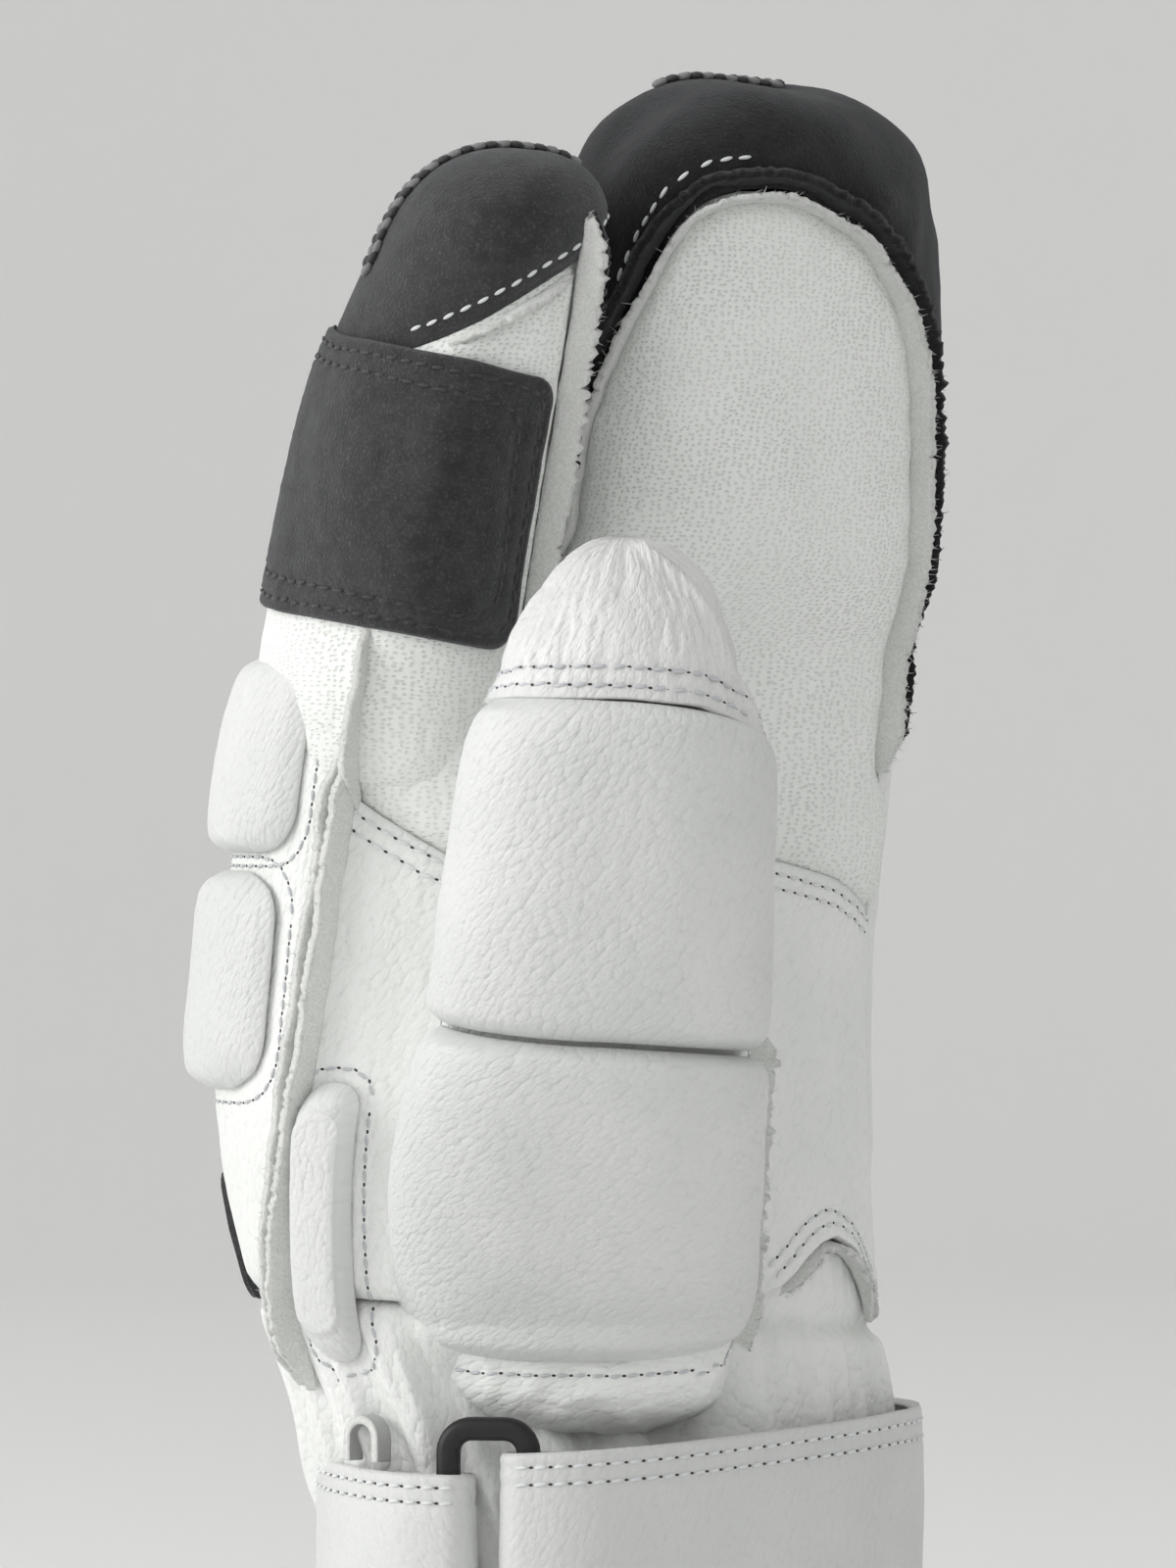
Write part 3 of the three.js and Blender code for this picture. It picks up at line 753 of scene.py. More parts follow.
def palmShape(points, u, v):
    arcLine = Line(hand.at(wristArcDense[:, 0], wristArcDense[:, 1]))
    lines = [seams["palmHead"], seams["palmNear"], seams["palmFar"], seams["wrist"]]
    rise, shadeAndWear = relief(points, lines, palmRows + arcRows, seed=11, **palm["wear"])
    cut, _ = arcLine.near(points)
    rise += palm["arcRoll"] * bell(cut, 3) + 0.25 * ridges(points, (7, 7, 12), 3) * 0.6
    rise += palm["folds"] * drift(points, (16, 16, 26), 5) + thumbRise(points)
    return rise, shadeAndWear


sheet(
    "palm_leather", (150, 110), panelPlace(hand, palmPanel, palmFoot, palmSeam), palmShape,
    thickness=1.6, finish="palm", nodes=["palm"], keep=clearOfFingers(0.14), rim="raw", chart=hand,
)


face = {
    "wear": {"dip": 1.2, "roll": 2.2, "pucker": 0.4, "pitch": 3.2, "reach": 5},
    "waves": 0.35, "folds": 0.7, "creases": 0.12, "dragLine": 0.55,
}


def faceShape(points, u, v):
    lines = [seams["face"], seams["palmHead"], seams["palmNear"]]
    rise, shadeAndWear = relief(points, lines, seed=21, **face["wear"])
    distance, along = seams["face"].near(points)
    waves = drift(np.stack([along, distance * 0.2], axis=1), (6.5, 3), 9) * np.exp(-distance / 14)
    rise += face["waves"] * waves
    rise += face["folds"] * drift(points, (22, 22, 34), 7) + face["creases"] * ridges(points, (3.2, 3.2, 9), 8)
    # one drag line slopes down towards the little finger's side
    low = bell(points[:, 2] - 170 + 0.32 * (points[:, 0] - 20), 6)
    return rise + thumbRise(points) + face["dragLine"] * low * clamped((points[:, 0] - 5) / 20), shadeAndWear


sheet(
    "pouch_face_leather", (150, 140), panelPlace(hand, facePanel, palmSeam, 247.5), faceShape,
    thickness=1.6, finish="face", nodes=["pouch_face"], keep=clearOfFingers(0.14), chart=hand, rim="raw",
)


back = {"wear": {"dip": 1.0, "roll": 1.6, "pucker": 0.3, "pitch": 4}, "folds": 0.3, "creases": 0.1}


def backShape(points, u, v):
    lines = [seams["palmNear"], seams["palmFar"], seams["wrist"], seams["hoodBack"]]
    rise, shadeAndWear = relief(points, lines, seed=31, **back["wear"])
    rise += back["folds"] * drift(points, (12, 12, 18), 32) + back["creases"] * ridges(points, (4, 4, 7), 33)
    return rise, shadeAndWear


sheet(
    "back_leather", (126, 96), panelPlace(hand, backPanel, wristSeam, 226.0), backShape, thickness=1.6, finish="palm",
    nodes=["back_of_hand"], keep=clearOfFingers(0.14), rim="raw", chart=hand,
)

# Suede hood: a band over the fingertips, between the face's arch and the back's
hood = {
    "wear": {"dip": 1.0, "roll": 1.6, "pucker": 0.35, "pitch": 5, "reach": 9},
    "flutes": 2.8, "reach": 26, "folds": 2.0, "rowAway": -4.1,
}
handSteps = (300, 260)
denseLevels = np.linspace(hand.level(160), hand.last + 0.999, handSteps[1])
denseAngles = np.linspace(0, 360, handSteps[0], endpoint=False)
denseGrid = hand.skin(np.tile(denseAngles, handSteps[1]), np.repeat(denseLevels, handSteps[0]))
denseFaces = [
    (r * handSteps[0] + c, r * handSteps[0] + (c + 1) % handSteps[0],
     (r + 1) * handSteps[0] + (c + 1) % handSteps[0], (r + 1) * handSteps[0] + c)
    for r in range(handSteps[1] - 1)
    for c in range(handSteps[0])
]
denseHand = BVHTree.FromPolygons(denseGrid.tolist(), denseFaces)


def hoodPlace(u, v, lift=0.0):
    ends = []
    for line in (seams["face"], seams["hoodBack"]):
        ends.append(line.spot(u * line.length))
    heights = np.clip((ends[0][:, 2] + ends[1][:, 2]) / 2 - 10, 165, 216)
    hub = catmull(hand.centres, hand.level(heights))
    start, end = unit(ends[0] - hub), unit(ends[1] - hub)
    spread = np.arccos(np.clip((start * end).sum(1), -1, 1))[:, None] + 1e-6
    ray = (np.sin((1 - v[:, None]) * spread) * start + np.sin(v[:, None] * spread) * end) / np.sin(spread)
    placed = np.empty_like(hub)
    for i, (origin, way) in enumerate(zip(hub, ray)):
        hit = denseHand.ray_cast(origin, way)[0]
        placed[i] = hit if hit is not None else origin + way * 25
    return placed + ray * lift


def hoodShape(points, u, v):
    rise, shadeAndWear = relief(points, [seams["face"], seams["hoodBack"]], [hoodRow], seed=41, **hood["wear"])
    distance, along = seams["face"].near(points)
    # soft flutes run out from the arch and fade over the fingertips
    flutes = drift(np.stack([along, distance * 0.12], axis=1), (11, 3), 43)
    rise += hood["flutes"] * flutes * np.exp(-distance / hood["reach"])
    rise += hood["folds"] * drift(points, (16, 16, 16), 44) + 0.2 * drift(points, (5, 5, 5), 45)
    return rise, shadeAndWear * 0.5


hoodRow = shifted(faceArch[::2], hand, hood["rowAway"])
sheet(
    "pouch_hood_suede", (200, 76), hoodPlace, hoodShape, thickness=1.4, finish="pouchSuede",
    slot="dark_suede", nodes=["pouch_cap"], rim="pouchSuede",
)
print("hand leather")


# The index finger
indexLeather = {
    "foot": 167, "tuck": 1.5, "wear": {"dip": 1.0, "roll": 1.4, "pucker": 0.2}, "folds": 0.35, "creases": 0.1,
}
indexFoot = indexLeather["foot"]


def indexPlace(u, v, lift=0.0):
    angle = 360 * u
    height = indexFoot + (indexSeam(angle) - indexFoot) * v
    return index.at(angle, height, lift)


def indexShape(points, u, v):
    rise, shadeAndWear = relief(points, [seams["indexHead"], seams["indexSide"]], seed=51, **indexLeather["wear"])
    rise -= indexLeather["tuck"] * bell(points[:, 2] - indexFoot, 2)  # its foot goes under the palm's edge
    folds, creases = drift(points, (9, 9, 16), 52), ridges(points, (3, 3, 6), 53)
    return rise + indexLeather["folds"] * folds + indexLeather["creases"] * creases, shadeAndWear


sheet(
    "index_leather", (150, 90), indexPlace, indexShape, thickness=1.6, finish="face",
    nodes=["index_shell"], wrap="around", keep=farFrom(hand, 0.12), chart=index, rim="raw",
)


def indexCapPlace(u, v, lift=0.0):
    angle = 360 * u
    low = index.level(indexSeam(angle))
    return index.skin(angle, low + (index.last + 1 - low) * v, lift)


def indexCapShape(points, u, v):
    rise, shadeAndWear = relief(points, [seams["indexHead"]], [indexCapRow], dip=0.9, roll=1.5, pucker=0.3, pitch=4, seed=61)
    return rise + 0.6 * drift(points, (11, 11, 11), 62) + 0.12 * drift(points, (4, 4, 4), 63), shadeAndWear * 0.6


indexCapRoute = seamRoute(indexSeam, 205, 322)
indexCapRow = shifted(indexCapRoute, index, 2.2)
sheet(
    "index_cap_suede", (130, 56), indexCapPlace, indexCapShape, thickness=1.4, finish="suede",
    slot="dark_suede", nodes=["index_cap"], wrap="around",
)


# Pads and patches: a crowned form over a rounded outline, closed underneath
def padProfile(crown, shoulder):
    return np.array([
        (0.0, crown), (0.35, crown * 0.99), (0.6, crown * 0.965), (0.78, crown * 0.9), (1 - shoulder, crown * 0.78),
        (1 - shoulder * 0.5, crown * 0.55), (1 - shoulder * 0.15, crown * 0.25), (1.0, 0.35), (0.985, -0.1),
        (0.9, -0.15), (0.4, -0.15), (0.0, -0.15),
    ])


def outline(patch):
    # A rectangle with a radius for each corner: how far round, and where across and along it
    wide, tall = patch["wide"], patch["halfHeight"]
    ring = []
    for (x, y, turn), radius in zip(((1, 1, 0), (-1, 1, 90), (-1, -1, 180), (1, -1, 270)), patch["radii"]):
        turned = np.radians(turn + np.linspace(0, 90, 24))
        middle = np.array([x * (wide - radius), y * (tall - radius)])
        ring.append(middle + radius * np.column_stack([np.cos(turned), np.sin(turned)]))
    ring = np.vstack([*ring, ring[0][:1]])
    run = pathLengths(ring)
    return run / run[-1], ring[:, 0] / wide, ring[:, 1] / tall


def onPatch(patch, across, along):
    # Each end of a patch may slant and curve
    height = patch["height"] + patch["halfHeight"] * along
    for side, (slant, curve) in ((1, patch.get("top", (0, 0))), (-1, patch.get("bottom", (0, 0)))):
        height = height + (slant * across + curve * across**2) * (1 + side * along) / 2
    return patch["angle"] + patch["halfAngle"] * across + patch.get("lean", 0) * along, height


# How far the thumb's leather stands out under the lower pad, at each height
thumbFoot = {"heights": [83, 84, 85.2, 87, 89, 92, 95, 99], "out": [1, 6, 9.6, 10.4, 9.4, 6.6, 3.2, 0], "base": 83.5}


def thumbSwell(angle, height):
    # It ends in a rounded fold instead of running into the wrist
    front = clamped(0.45 - 1.8 * np.sin(np.radians(angle)))
    out = np.interp(height, thumbFoot["heights"], thumbFoot["out"])
    return (front * front * (3 - 2 * front) * out)[:, None] * towards


def padPlace(tube, patch, crown, shoulder=0.1):
    profile = padProfile(crown, shoulder)
    steps = np.linalg.norm(np.diff(profile * [[patch["halfHeight"], 1]], axis=0), axis=1)
    steps[8:] *= 0.2
    rows = np.interp(np.linspace(0, 1, 200), np.r_[0, np.cumsum(steps)] / steps.sum(), np.arange(len(profile)))
    dense = catmull(profile, rows)
    run, ringAcross, ringAlong = outline(patch)

    def place(u, v, lift=0.0):
        share = clamped(np.interp(v, np.linspace(0, 1, 200), dense[:, 0]))
        rise = np.interp(v, np.linspace(0, 1, 200), dense[:, 1])
        across, along = np.interp(u, run, ringAcross) * share, np.interp(u, run, ringAlong) * share
        angle, height = onPatch(patch, across, along)
        rise = rise * (1 - patch.get("thin", 0) * across**4)
        skin = tube.at(angle, height, rise + 0.35 + lift * np.where(v > 0.9, -1, 1))
        return skin + thumbSwell(angle, height) if tube is thumb else skin

    return place


def rimRoute(patch, grow=0.0, turnPerMm=3.2):
    # The outline round a patch, grown by some millimetres for its stitches
    run, across, along = outline(patch)
    at = np.linspace(0, 1, 240)
    wider = {**patch, "halfHeight": patch["halfHeight"] + grow, "halfAngle": patch["halfAngle"] + grow * turnPerMm}
    return np.column_stack(onPatch(wider, np.interp(at, run, across), np.interp(at, run, along)))


pads = {
    "thumb_pad_upper": {
        "tube": thumb, "crown": 4.2, "grid": (220, 74), "shoulder": 0.1,
        "patch": {"angle": 270, "halfAngle": 79, "wide": 27.5, "height": 158.1, "halfHeight": 21.6,
                  "radii": (4, 5, 3, 3), "top": (-2.2, -2.0), "bottom": (-2.3, 0.7), "thin": 0.3},
    },
    "thumb_pad_lower": {
        "tube": thumb, "crown": 4.7, "grid": (220, 74), "shoulder": 0.1,
        "patch": {"angle": 272, "halfAngle": 76, "wide": 27.5, "height": 114.9, "halfHeight": 20.9,
                  "radii": (3, 3, 8, 8), "top": (-2.3, 0.7), "bottom": (0, 2.4), "thin": 0.3},
    },
    "knuckle_pad_upper": {
        "tube": hand, "crown": 3.9, "grid": (220, 56), "shoulder": 0.13,
        "patch": {"angle": 120, "halfAngle": 67, "wide": 44, "height": 173.5, "halfHeight": 13.2,
                  "radii": (6, 6, 6, 6)},
    },
    "knuckle_pad_lower": {
        "tube": hand, "crown": 4.0, "grid": (220, 60), "shoulder": 0.13,
        "patch": {"angle": 120, "halfAngle": 64, "wide": 42, "height": 143.5, "halfHeight": 14.4,
                  "radii": (7, 7, 7, 7)},
    },
    "side_pad": {
        "tube": hand, "crown": 4.0, "grid": (110, 48), "shoulder": 0.2,
        "patch": {"angle": 197, "halfAngle": 7.2, "wide": 4.1, "height": 112, "halfHeight": 18.4, "lean": 8,
                  "radii": (3.6, 3.6, 3.6, 3.6)},
    },
}


def padShapeOf(seed):
    def shape(points, u, v):
        top = clamped((0.8 - v) / 0.1)
        rise = 0.28 * drift(points, (11, 11, 13), seed) * top + 0.06 * ridges(points, (3, 3, 4), seed + 1) * top
        # a dark band round the pad's foot, where it meets the leather: painted shade
        return rise, bell(v - 0.86, 0.03) * 0.6

    return shape


for k, (name, pad) in enumerate(pads.items()):
    piece = sheet(
        name + "_cover", pad["grid"], padPlace(pad["tube"], pad["patch"], pad["crown"], pad["shoulder"]),
        padShapeOf(70 + 2 * k), thickness=0, finish="pad", nodes=[name], wrap="around", chart=pad["tube"],
    )

patches = {
    "index_patch": {
        "tube": index, "patch": {"angle": 203, "halfAngle": 82, "wide": 25, "height": 208, "halfHeight": 18,
                                 "radii": (3, 5, 4, 5), "top": (-4.5, 0), "bottom": (-4, 0), "lean": -2.5},
        "grid": (200, 80),
    },
    "back_panel": {
        "tube": hand, "patch": {"angle": 88, "halfAngle": 58, "wide": 40, "height": 109, "halfHeight": 8.5,
                                "radii": (3, 3, 3, 3)},
        "grid": (160, 44),
    },
}


suedePatch = {
    "thickness": 1.25, "insets": (-1.6, -4.0), "turnPerMm": 3.6, "groove": 0.35, "ridge": 0.9, "ridgeWidth": 3.5,
}
patchRidge = lineOn(index, [(236, 222), (233, 210), (229, 196)])
stitchRows = {}
for k, (name, item) in enumerate(patches.items()):
    tube, patch = item["tube"], item["patch"]
    stitchRows[name] = [
        lineOn(tube, rimRoute(patch, inset, suedePatch["turnPerMm"]), smooth=False, lift=1.6)
        for inset in suedePatch["insets"]
    ]

    def shape(points, u, v, rows=stitchRows[name], seed=90 + k, folded=name == "index_patch"):
        rise, shadeAndWear = relief(points, [], rows, groove=suedePatch["groove"], seed=seed)
        top = clamped((0.85 - v) / 0.08)
        if folded:
            rise += suedePatch["ridge"] * bell(patchRidge.near(points)[0], suedePatch["ridgeWidth"])
        rise += 0.35 * drift(points, (9, 9, 15), seed) + 0.12 * drift(points, (3, 3, 3), seed + 1)
        return rise * top, shadeAndWear * 0.4 + bell(v - 0.87, 0.03) * 0.5

    sheet(
        name + "_suede", item["grid"], padPlace(tube, patch, suedePatch["thickness"], 0.03), shape, thickness=0,
        finish="suede", slot="dark_suede", nodes=[name], wrap="around",
    )
print("index finger and pads")


# The thumb
thumbLeather = {"wear": {"dip": 0.8, "roll": 1.6, "pucker": 0.25, "pitch": 3.5}, "folds": 0.35, "footFolds": 0.5}


def thumbPlace(u, v, lift=0.0):
    angle = 360 * u
    foot = thumbFoot["base"] + 3.5 * np.cos(np.radians(angle)) ** 2
    height = foot + (thumbSeam(angle) + 1.5 - foot) * v**1.25
    return thumb.at(angle, height, lift - 0.4) + thumbSwell(angle, height - foot + thumbFoot["base"])


padGap = [lineOn(thumb, [(190, 136.6), (230, 136.9), (270, 136), (310, 134.6), (350, 133.6)])]


def thumbShape(points, u, v):
    rise, shadeAndWear = relief(points, [seams["thumbHead"]] + padGap, seed=101, **thumbLeather["wear"])
    rise += thumbLeather["folds"] * drift(points, (9, 9, 14), 102)
    base = clamped((108 - points[:, 2]) / 14)
    return rise + base * thumbLeather["footFolds"] * ridges(points, (6, 6, 5), 103), shadeAndWear


sheet(
    "thumb_leather", (150, 110), thumbPlace, thumbShape, thickness=1.6, finish="palm",
    nodes=["thumb_shell"], wrap="around", keep=farFrom(hand, 0.34), rim="raw", chart=thumb,
)


def thumbTipPlace(u, v, lift=0.0):
    angle = 360 * u
    low = thumb.level(thumbSeam(angle))
    return thumb.skin(angle, low + (thumb.last + 1 - low) * v, lift)


tip = {"wrinkles": 0.8, "sideSeam": 0.7, "girth": 112}


def thumbTipShape(points, u, v):
    rise, shadeAndWear = relief(points, [seams["thumbHead"]], thumbHeadRows, dip=0.1, roll=1.2, pucker=0.12, seed=111)
    # lengthwise wrinkles gather under the tip
    around = u * tip["girth"]
    wave = drift(np.stack([around, v * 12], axis=1), (2.3, 7), 112) + 0.6 * drift(
        np.stack([around, v * 26], axis=1), (1.3, 4), 113
    )
    folds = -tip["wrinkles"] * np.abs(wave) ** 0.8 * np.interp(v, [0, 0.12, 0.4, 0.75, 0.95], [0, 0.5, 1, 0.8, 0])
    taper = np.interp(v, [0, 0.3, 0.45, 0.6, 0.72, 0.88], [1.3, 0.4, -1.0, -1.7, -1.0, 0])
    side, _ = tipSide.near(points)
    rise += folds + taper + 0.3 * drift(points, (8, 8, 8), 114) + tip["sideSeam"] * bell(side, 1.1)
    return rise, shadeAndWear


tipSide = lineOn(thumb, [(338, 176), (334, 182), (328, 188), (320, 193), (308, 197), (290, 199.8)])
sheet(
    "thumb_tip_leather", (210, 60), thumbTipPlace, thumbTipShape, thickness=1.6, finish="tip",
    nodes=["thumb_tip"], wrap="around", rim="raw", chart=thumb,
)
print("thumb")


# The cuff
cuff = {
    "gather": 2.8, "gatherSize": 4.2, "fineGather": 0.9, "hemRoll": 0.9, "hemHeight": 7, "drawIn": 5.5, "girth": 290,
}


def cuffHead(angle):
    under = np.interp(angle % 360, [250, 262, 284, 291, 300, 308, 316, 324, 330], [0, 3.5, 7, 10.2, 12, 10, 6, 2, 0])
    return wristSeam(angle) - 0.1 + under


def cuffPlace(u, v, lift=0.0):
    angle = 360 * u
    return hand.at(angle, cuffHead(angle) * v, lift)


def cuffShape(points, u, v):
    rise, shadeAndWear = relief(points, [seams["wrist"]], [cuffHem], dip=1.3, roll=2.0, pucker=0.3, pitch=3, seed=121)
    around = u * cuff["girth"]
    waist = bell(points[:, 2] - 74, 26)
    folds = drift(np.stack([around, points[:, 2]], axis=1), (cuff["gatherSize"], 34), 122)
    fine = drift(np.stack([around, points[:, 2]], axis=1), (2.1, 16), 123)
    rise += waist * (cuff["gather"] * folds + cuff["fineGather"] * fine) + 0.5 * drift(points, (20, 20, 20), 124)
    rise += cuff["hemRoll"] * bell(points[:, 2] - 3, 3)
    under = clamped((points[:, 2] - wristSeam(360 * u) + 2) / 2) * 0.9
    # it draws in behind the thumb's foot
    nearThumb = clamped((360 * u - 206) / 16) * clamped((276 - 360 * u) / 14)
    under += cuff["drawIn"] * nearThumb * clamped((points[:, 2] - 77) / 8) * clamped((97.5 - points[:, 2]) / 6)
    return np.where(points[:, 2] < 0.5, 0, rise) - under, shadeAndWear


cuffHem = lineOn(hand, [(a, cuff["hemHeight"]) for a in range(0, 361, 6)])
sheet(
    "cuff_leather", (264, 84), cuffPlace, cuffShape, thickness=1.8, finish="palm", nodes=["cuff"],
    wrap="around", keep=farFrom(thumb, 0.14), rim="raw", chart=hand,
)
print("cuff")

# Strap, tab, buckle loop and pull loop
strap = {"bottom": 53, "leather": 1.6, "buckleAngle": 214, "bar": 3.2, "legSpread": 5.3, "legLift": 4.7}
strapHeight = (strap["bottom"] + 83.4) / 2
foldRadius = strap["bar"] / 2 + 0.6 + strap["leather"] / 2
legLift = strap["legLift"]


def overWrist(angle, lift):
    return hand.at([angle], [strapHeight], lift)[0]


buckleOrigin = overWrist(strap["buckleAngle"], 0) * [1, 1, 0]
east = overWrist(strap["buckleAngle"] + 1, 0) - overWrist(strap["buckleAngle"] - 1, 0)
east /= np.linalg.norm(east)
out = np.array([east[1], -east[0], 0])


def atBuckle(eastwards, outwards):
    return buckleOrigin + east * eastwards + out * outwards


def fold(way):
    made = []
    for i in range(7):
        turned = math.radians(30 * i)
        sideways = way * (strap["legSpread"] - foldRadius * math.sin(turned))
        made.append(atBuckle(sideways, legLift - foldRadius * math.cos(turned)))
    return made


strapLifts = [
    (240, 8.6), (246, 8), (252, 7), (258, 6), (264, 5), (270, 4.3), (278, 3.8), (290, 3.4), (304, 3.2), (320, 3.2),
    (338, 3.2), (356, 3), (374, 2.8), (392, 2.5), (410, 2.3), (430, 2.1), (450, 2),
]
tabLifts = [
    (192, 7.4), (186, 6.4), (180, 5.2), (174, 4.2), (168, 3.4), (162, 2.9), (156, 2.5), (140, 2.1), (120, 2), (100, 2),
]
ribbons = {
    "strap_leather_band": {
        "path": [atBuckle(13, legLift - foldRadius), *fold(1), atBuckle(9.5, legLift + foldRadius - 0.1),
                 atBuckle(13.4, legLift + foldRadius - 1.1), *[overWrist(a, lift) for a, lift in strapLifts]],
        "top": (82.2, 85.4), "node": "strap", "grid": (260, 44), "turn": 1,
    },
    "tab_leather_band": {
        "path": [atBuckle(-13, legLift - foldRadius), *fold(-1), atBuckle(-8.5, legLift + foldRadius - 0.6),
                 atBuckle(-11.5, legLift + foldRadius - 1.8), *[overWrist(a, lift) for a, lift in tabLifts]],
        "top": (79.4, 80.6), "node": "strap_tab", "grid": (200, 40), "turn": -1,
    },
}


def ribbonPlace(item):
    path = np.array(item["path"])[:, :2]
    dense = catmull(path, np.linspace(0, len(path) - 1, 900))
    run = pathLengths(dense)
    item["length"] = run[-1]

    def place(u, v, lift=0.0):
        at = u * run[-1]
        flat = alongPath(at, run, dense)
        ahead = alongPath(at + 0.3, run, dense) - alongPath(at - 0.3, run, dense)
        ahead /= np.linalg.norm(ahead, axis=1)[:, None] + 1e-9
        side = np.column_stack([ahead[:, 1], -ahead[:, 0]]) * item["turn"]
        flat = flat + side * (lift + strap["leather"] / 2)
        share = clamped((at - 12) / 70)
        top = item["top"][0] + (item["top"][1] - item["top"][0]) * share
        bottom = strap["bottom"] + (top - item["top"][0]) * 0.7
        return np.column_stack([flat, bottom + (top - bottom) * v])

    return place


for name, item in ribbons.items():
    place = ribbonPlace(item)
    rows = []
    for inset in (1.9, 4.1):
        for side in (0, 1):
            u = np.linspace(0.0, 1.0, 600)
            share = (1 - inset / 29) if side else inset / 29
            rows.append(Line(place(u, np.full(600, share))))
    item["rows"] = rows

    def shape(points, u, v, rows=rows, item=item):
        rise, shadeAndWear = relief(points, [], rows, groove=0.3, seed=131)
        rise += 0.35 * drift(np.column_stack([u * item["length"], v * 30]), (14, 12), 132)
        edge = np.minimum(v, 1 - v) * 29
        return rise - 0.45 * np.exp(-edge / 0.5), shadeAndWear + 0.2 * np.exp(-edge / 0.8)

    sheet(
        name, item["grid"], place, shape, thickness=strap["leather"], finish="strap", slot="strap_leather",
        nodes=[item["node"]], rim="raw", chart=(item["length"], 30),
    )

loop = {"low": 47.9, "high": 85.3, "corner": 3.1, "radius": 1.55}


def loopPlace(u, v, lift=0.0):
    half, corner = strap["legSpread"], loop["corner"]
    corners = []
    for cx, cz, start in (
        (half - corner, loop["high"] - corner, 0), (corner - half, loop["high"] - corner, 90),
        (corner - half, loop["low"] + corner, 180), (half - corner, loop["low"] + corner, 270),
    ):
        turned = np.radians(start + np.linspace(0, 90, 14))
        corners.append(np.column_stack([cx + corner * np.cos(turned), cz + corner * np.sin(turned)]))
    ring = np.vstack([*corners, corners[0][:1]])
    run = pathLengths(ring)
    at = u * run[-1]
    x, z = alongPath(at, run, ring).T
    ahead = (alongPath((at + 0.2) % run[-1], run, ring) - alongPath((at - 0.2) % run[-1], run, ring)).T
    size = np.hypot(*ahead) + 1e-9
    turned = 2 * np.pi * v
    reach = (loop["radius"] + lift) / (np.abs(np.cos(turned)) ** 2.8 + np.abs(np.sin(turned)) ** 2.8) ** (1 / 2.8)
    aside, forward = reach * np.cos(turned), reach * np.sin(turned)
    x, z = x + ahead[1] / size * aside, z - ahead[0] / size * aside
    return buckleOrigin + x[:, None] * east + (legLift + forward)[:, None] * out + z[:, None] * upwards


sheet(
    "buckle_loop_moulded", (150, 20), loopPlace, thickness=0, finish="plastic", slot="dark_plastic",
    nodes=["buckle_loop"], wrap="both",
)

pull = {"angle": 189, "height": 80.7, "lift": 1.5, "half": 3, "rise": 3, "width": 2.6}


def pullPlace(u, v, lift=0.0):
    root = hand.at([pull["angle"]], [pull["height"]], pull["lift"])[0]
    outwards = (hand.at([pull["angle"]], [pull["height"]], pull["lift"] + 1)[0] - root) * [1, 1, 0]
    outwards /= np.linalg.norm(outwards)
    aside = np.array([-outwards[1], outwards[0], 0])
    turned = np.pi * clamped((u - 0.2) / 0.6)
    reach = pull["half"] + lift
    sideways = reach * np.cos(turned)
    high = pull["rise"] * np.minimum(np.minimum(u, 1 - u) / 0.2, 1) + reach * np.sin(turned)
    return root + sideways[:, None] * aside + high[:, None] * upwards + (v * pull["width"])[:, None] * outwards


sheet(
    "pull_loop_leather", (60, 8), pullPlace, thickness=1.1, finish="strap", slot="strap_leather",
    nodes=["pull_loop"], rim="raw",
)
print("straps")


# Raw edges: the layers of a seam stand up from the leather, frayed along the top
class Edge:
    def __init__(self, tube, route, height, offset=0.0, lean=0.0, sink=0.6, seed=1, taper=5, ragged=0.3):
        self.ragged = ragged
        route = smoothRows(np.array(route, float), 500)
        if len(route) > 100 and tube is hand:
            soft = np.pad(route, ((20, 20), (0, 0)), mode="reflect", reflect_type="odd")
            route = np.stack([np.convolve(soft[:, k], np.ones(41) / 41, "valid") for k in range(2)], axis=1)
        points = tube.at(route[:, 0], route[:, 1])
        self.line = Line(points)
        outwards = tube.at(route[:, 0], route[:, 1], 1.0) - points
        aside = np.cross(outwards, np.gradient(points, axis=0))
        self.run, self.points, self.outwards, self.aside = pathLengths(points), points, outwards, unit(aside)
        self.height, self.offset, self.lean, self.sink, self.seed, self.taper = height, offset, lean, sink, seed, taper

    def place(self, u, v, lift=0.0):
        at = u * self.run[-1]
        point, outwards, aside = (alongPath(at, self.run, part) for part in (self.points, self.outwards, self.aside))
        outwards = unit(outwards)
        flat = np.stack([at, np.zeros_like(at)], axis=1)
        ends = np.clip(np.minimum(at, self.run[-1] - at) / self.taper, 0.12, 1)
        tall = (self.height(u) if callable(self.height) else self.height) * ends * (
            1 + self.ragged * (1.5 * drift(flat, (0.9, 1), self.seed) + 0.8 * drift(flat, (8, 1), self.seed + 1))
        )
        sway = self.offset + lift + v * (self.lean + 1.3 * drift(flat, (13, 1), self.seed + 2))
        sway = sway + 0.4 * drift(flat, (5, 1), self.seed + 3)
        return point + outwards * (v * (tall + self.sink) - self.sink)[:, None] + aside * sway[:, None]


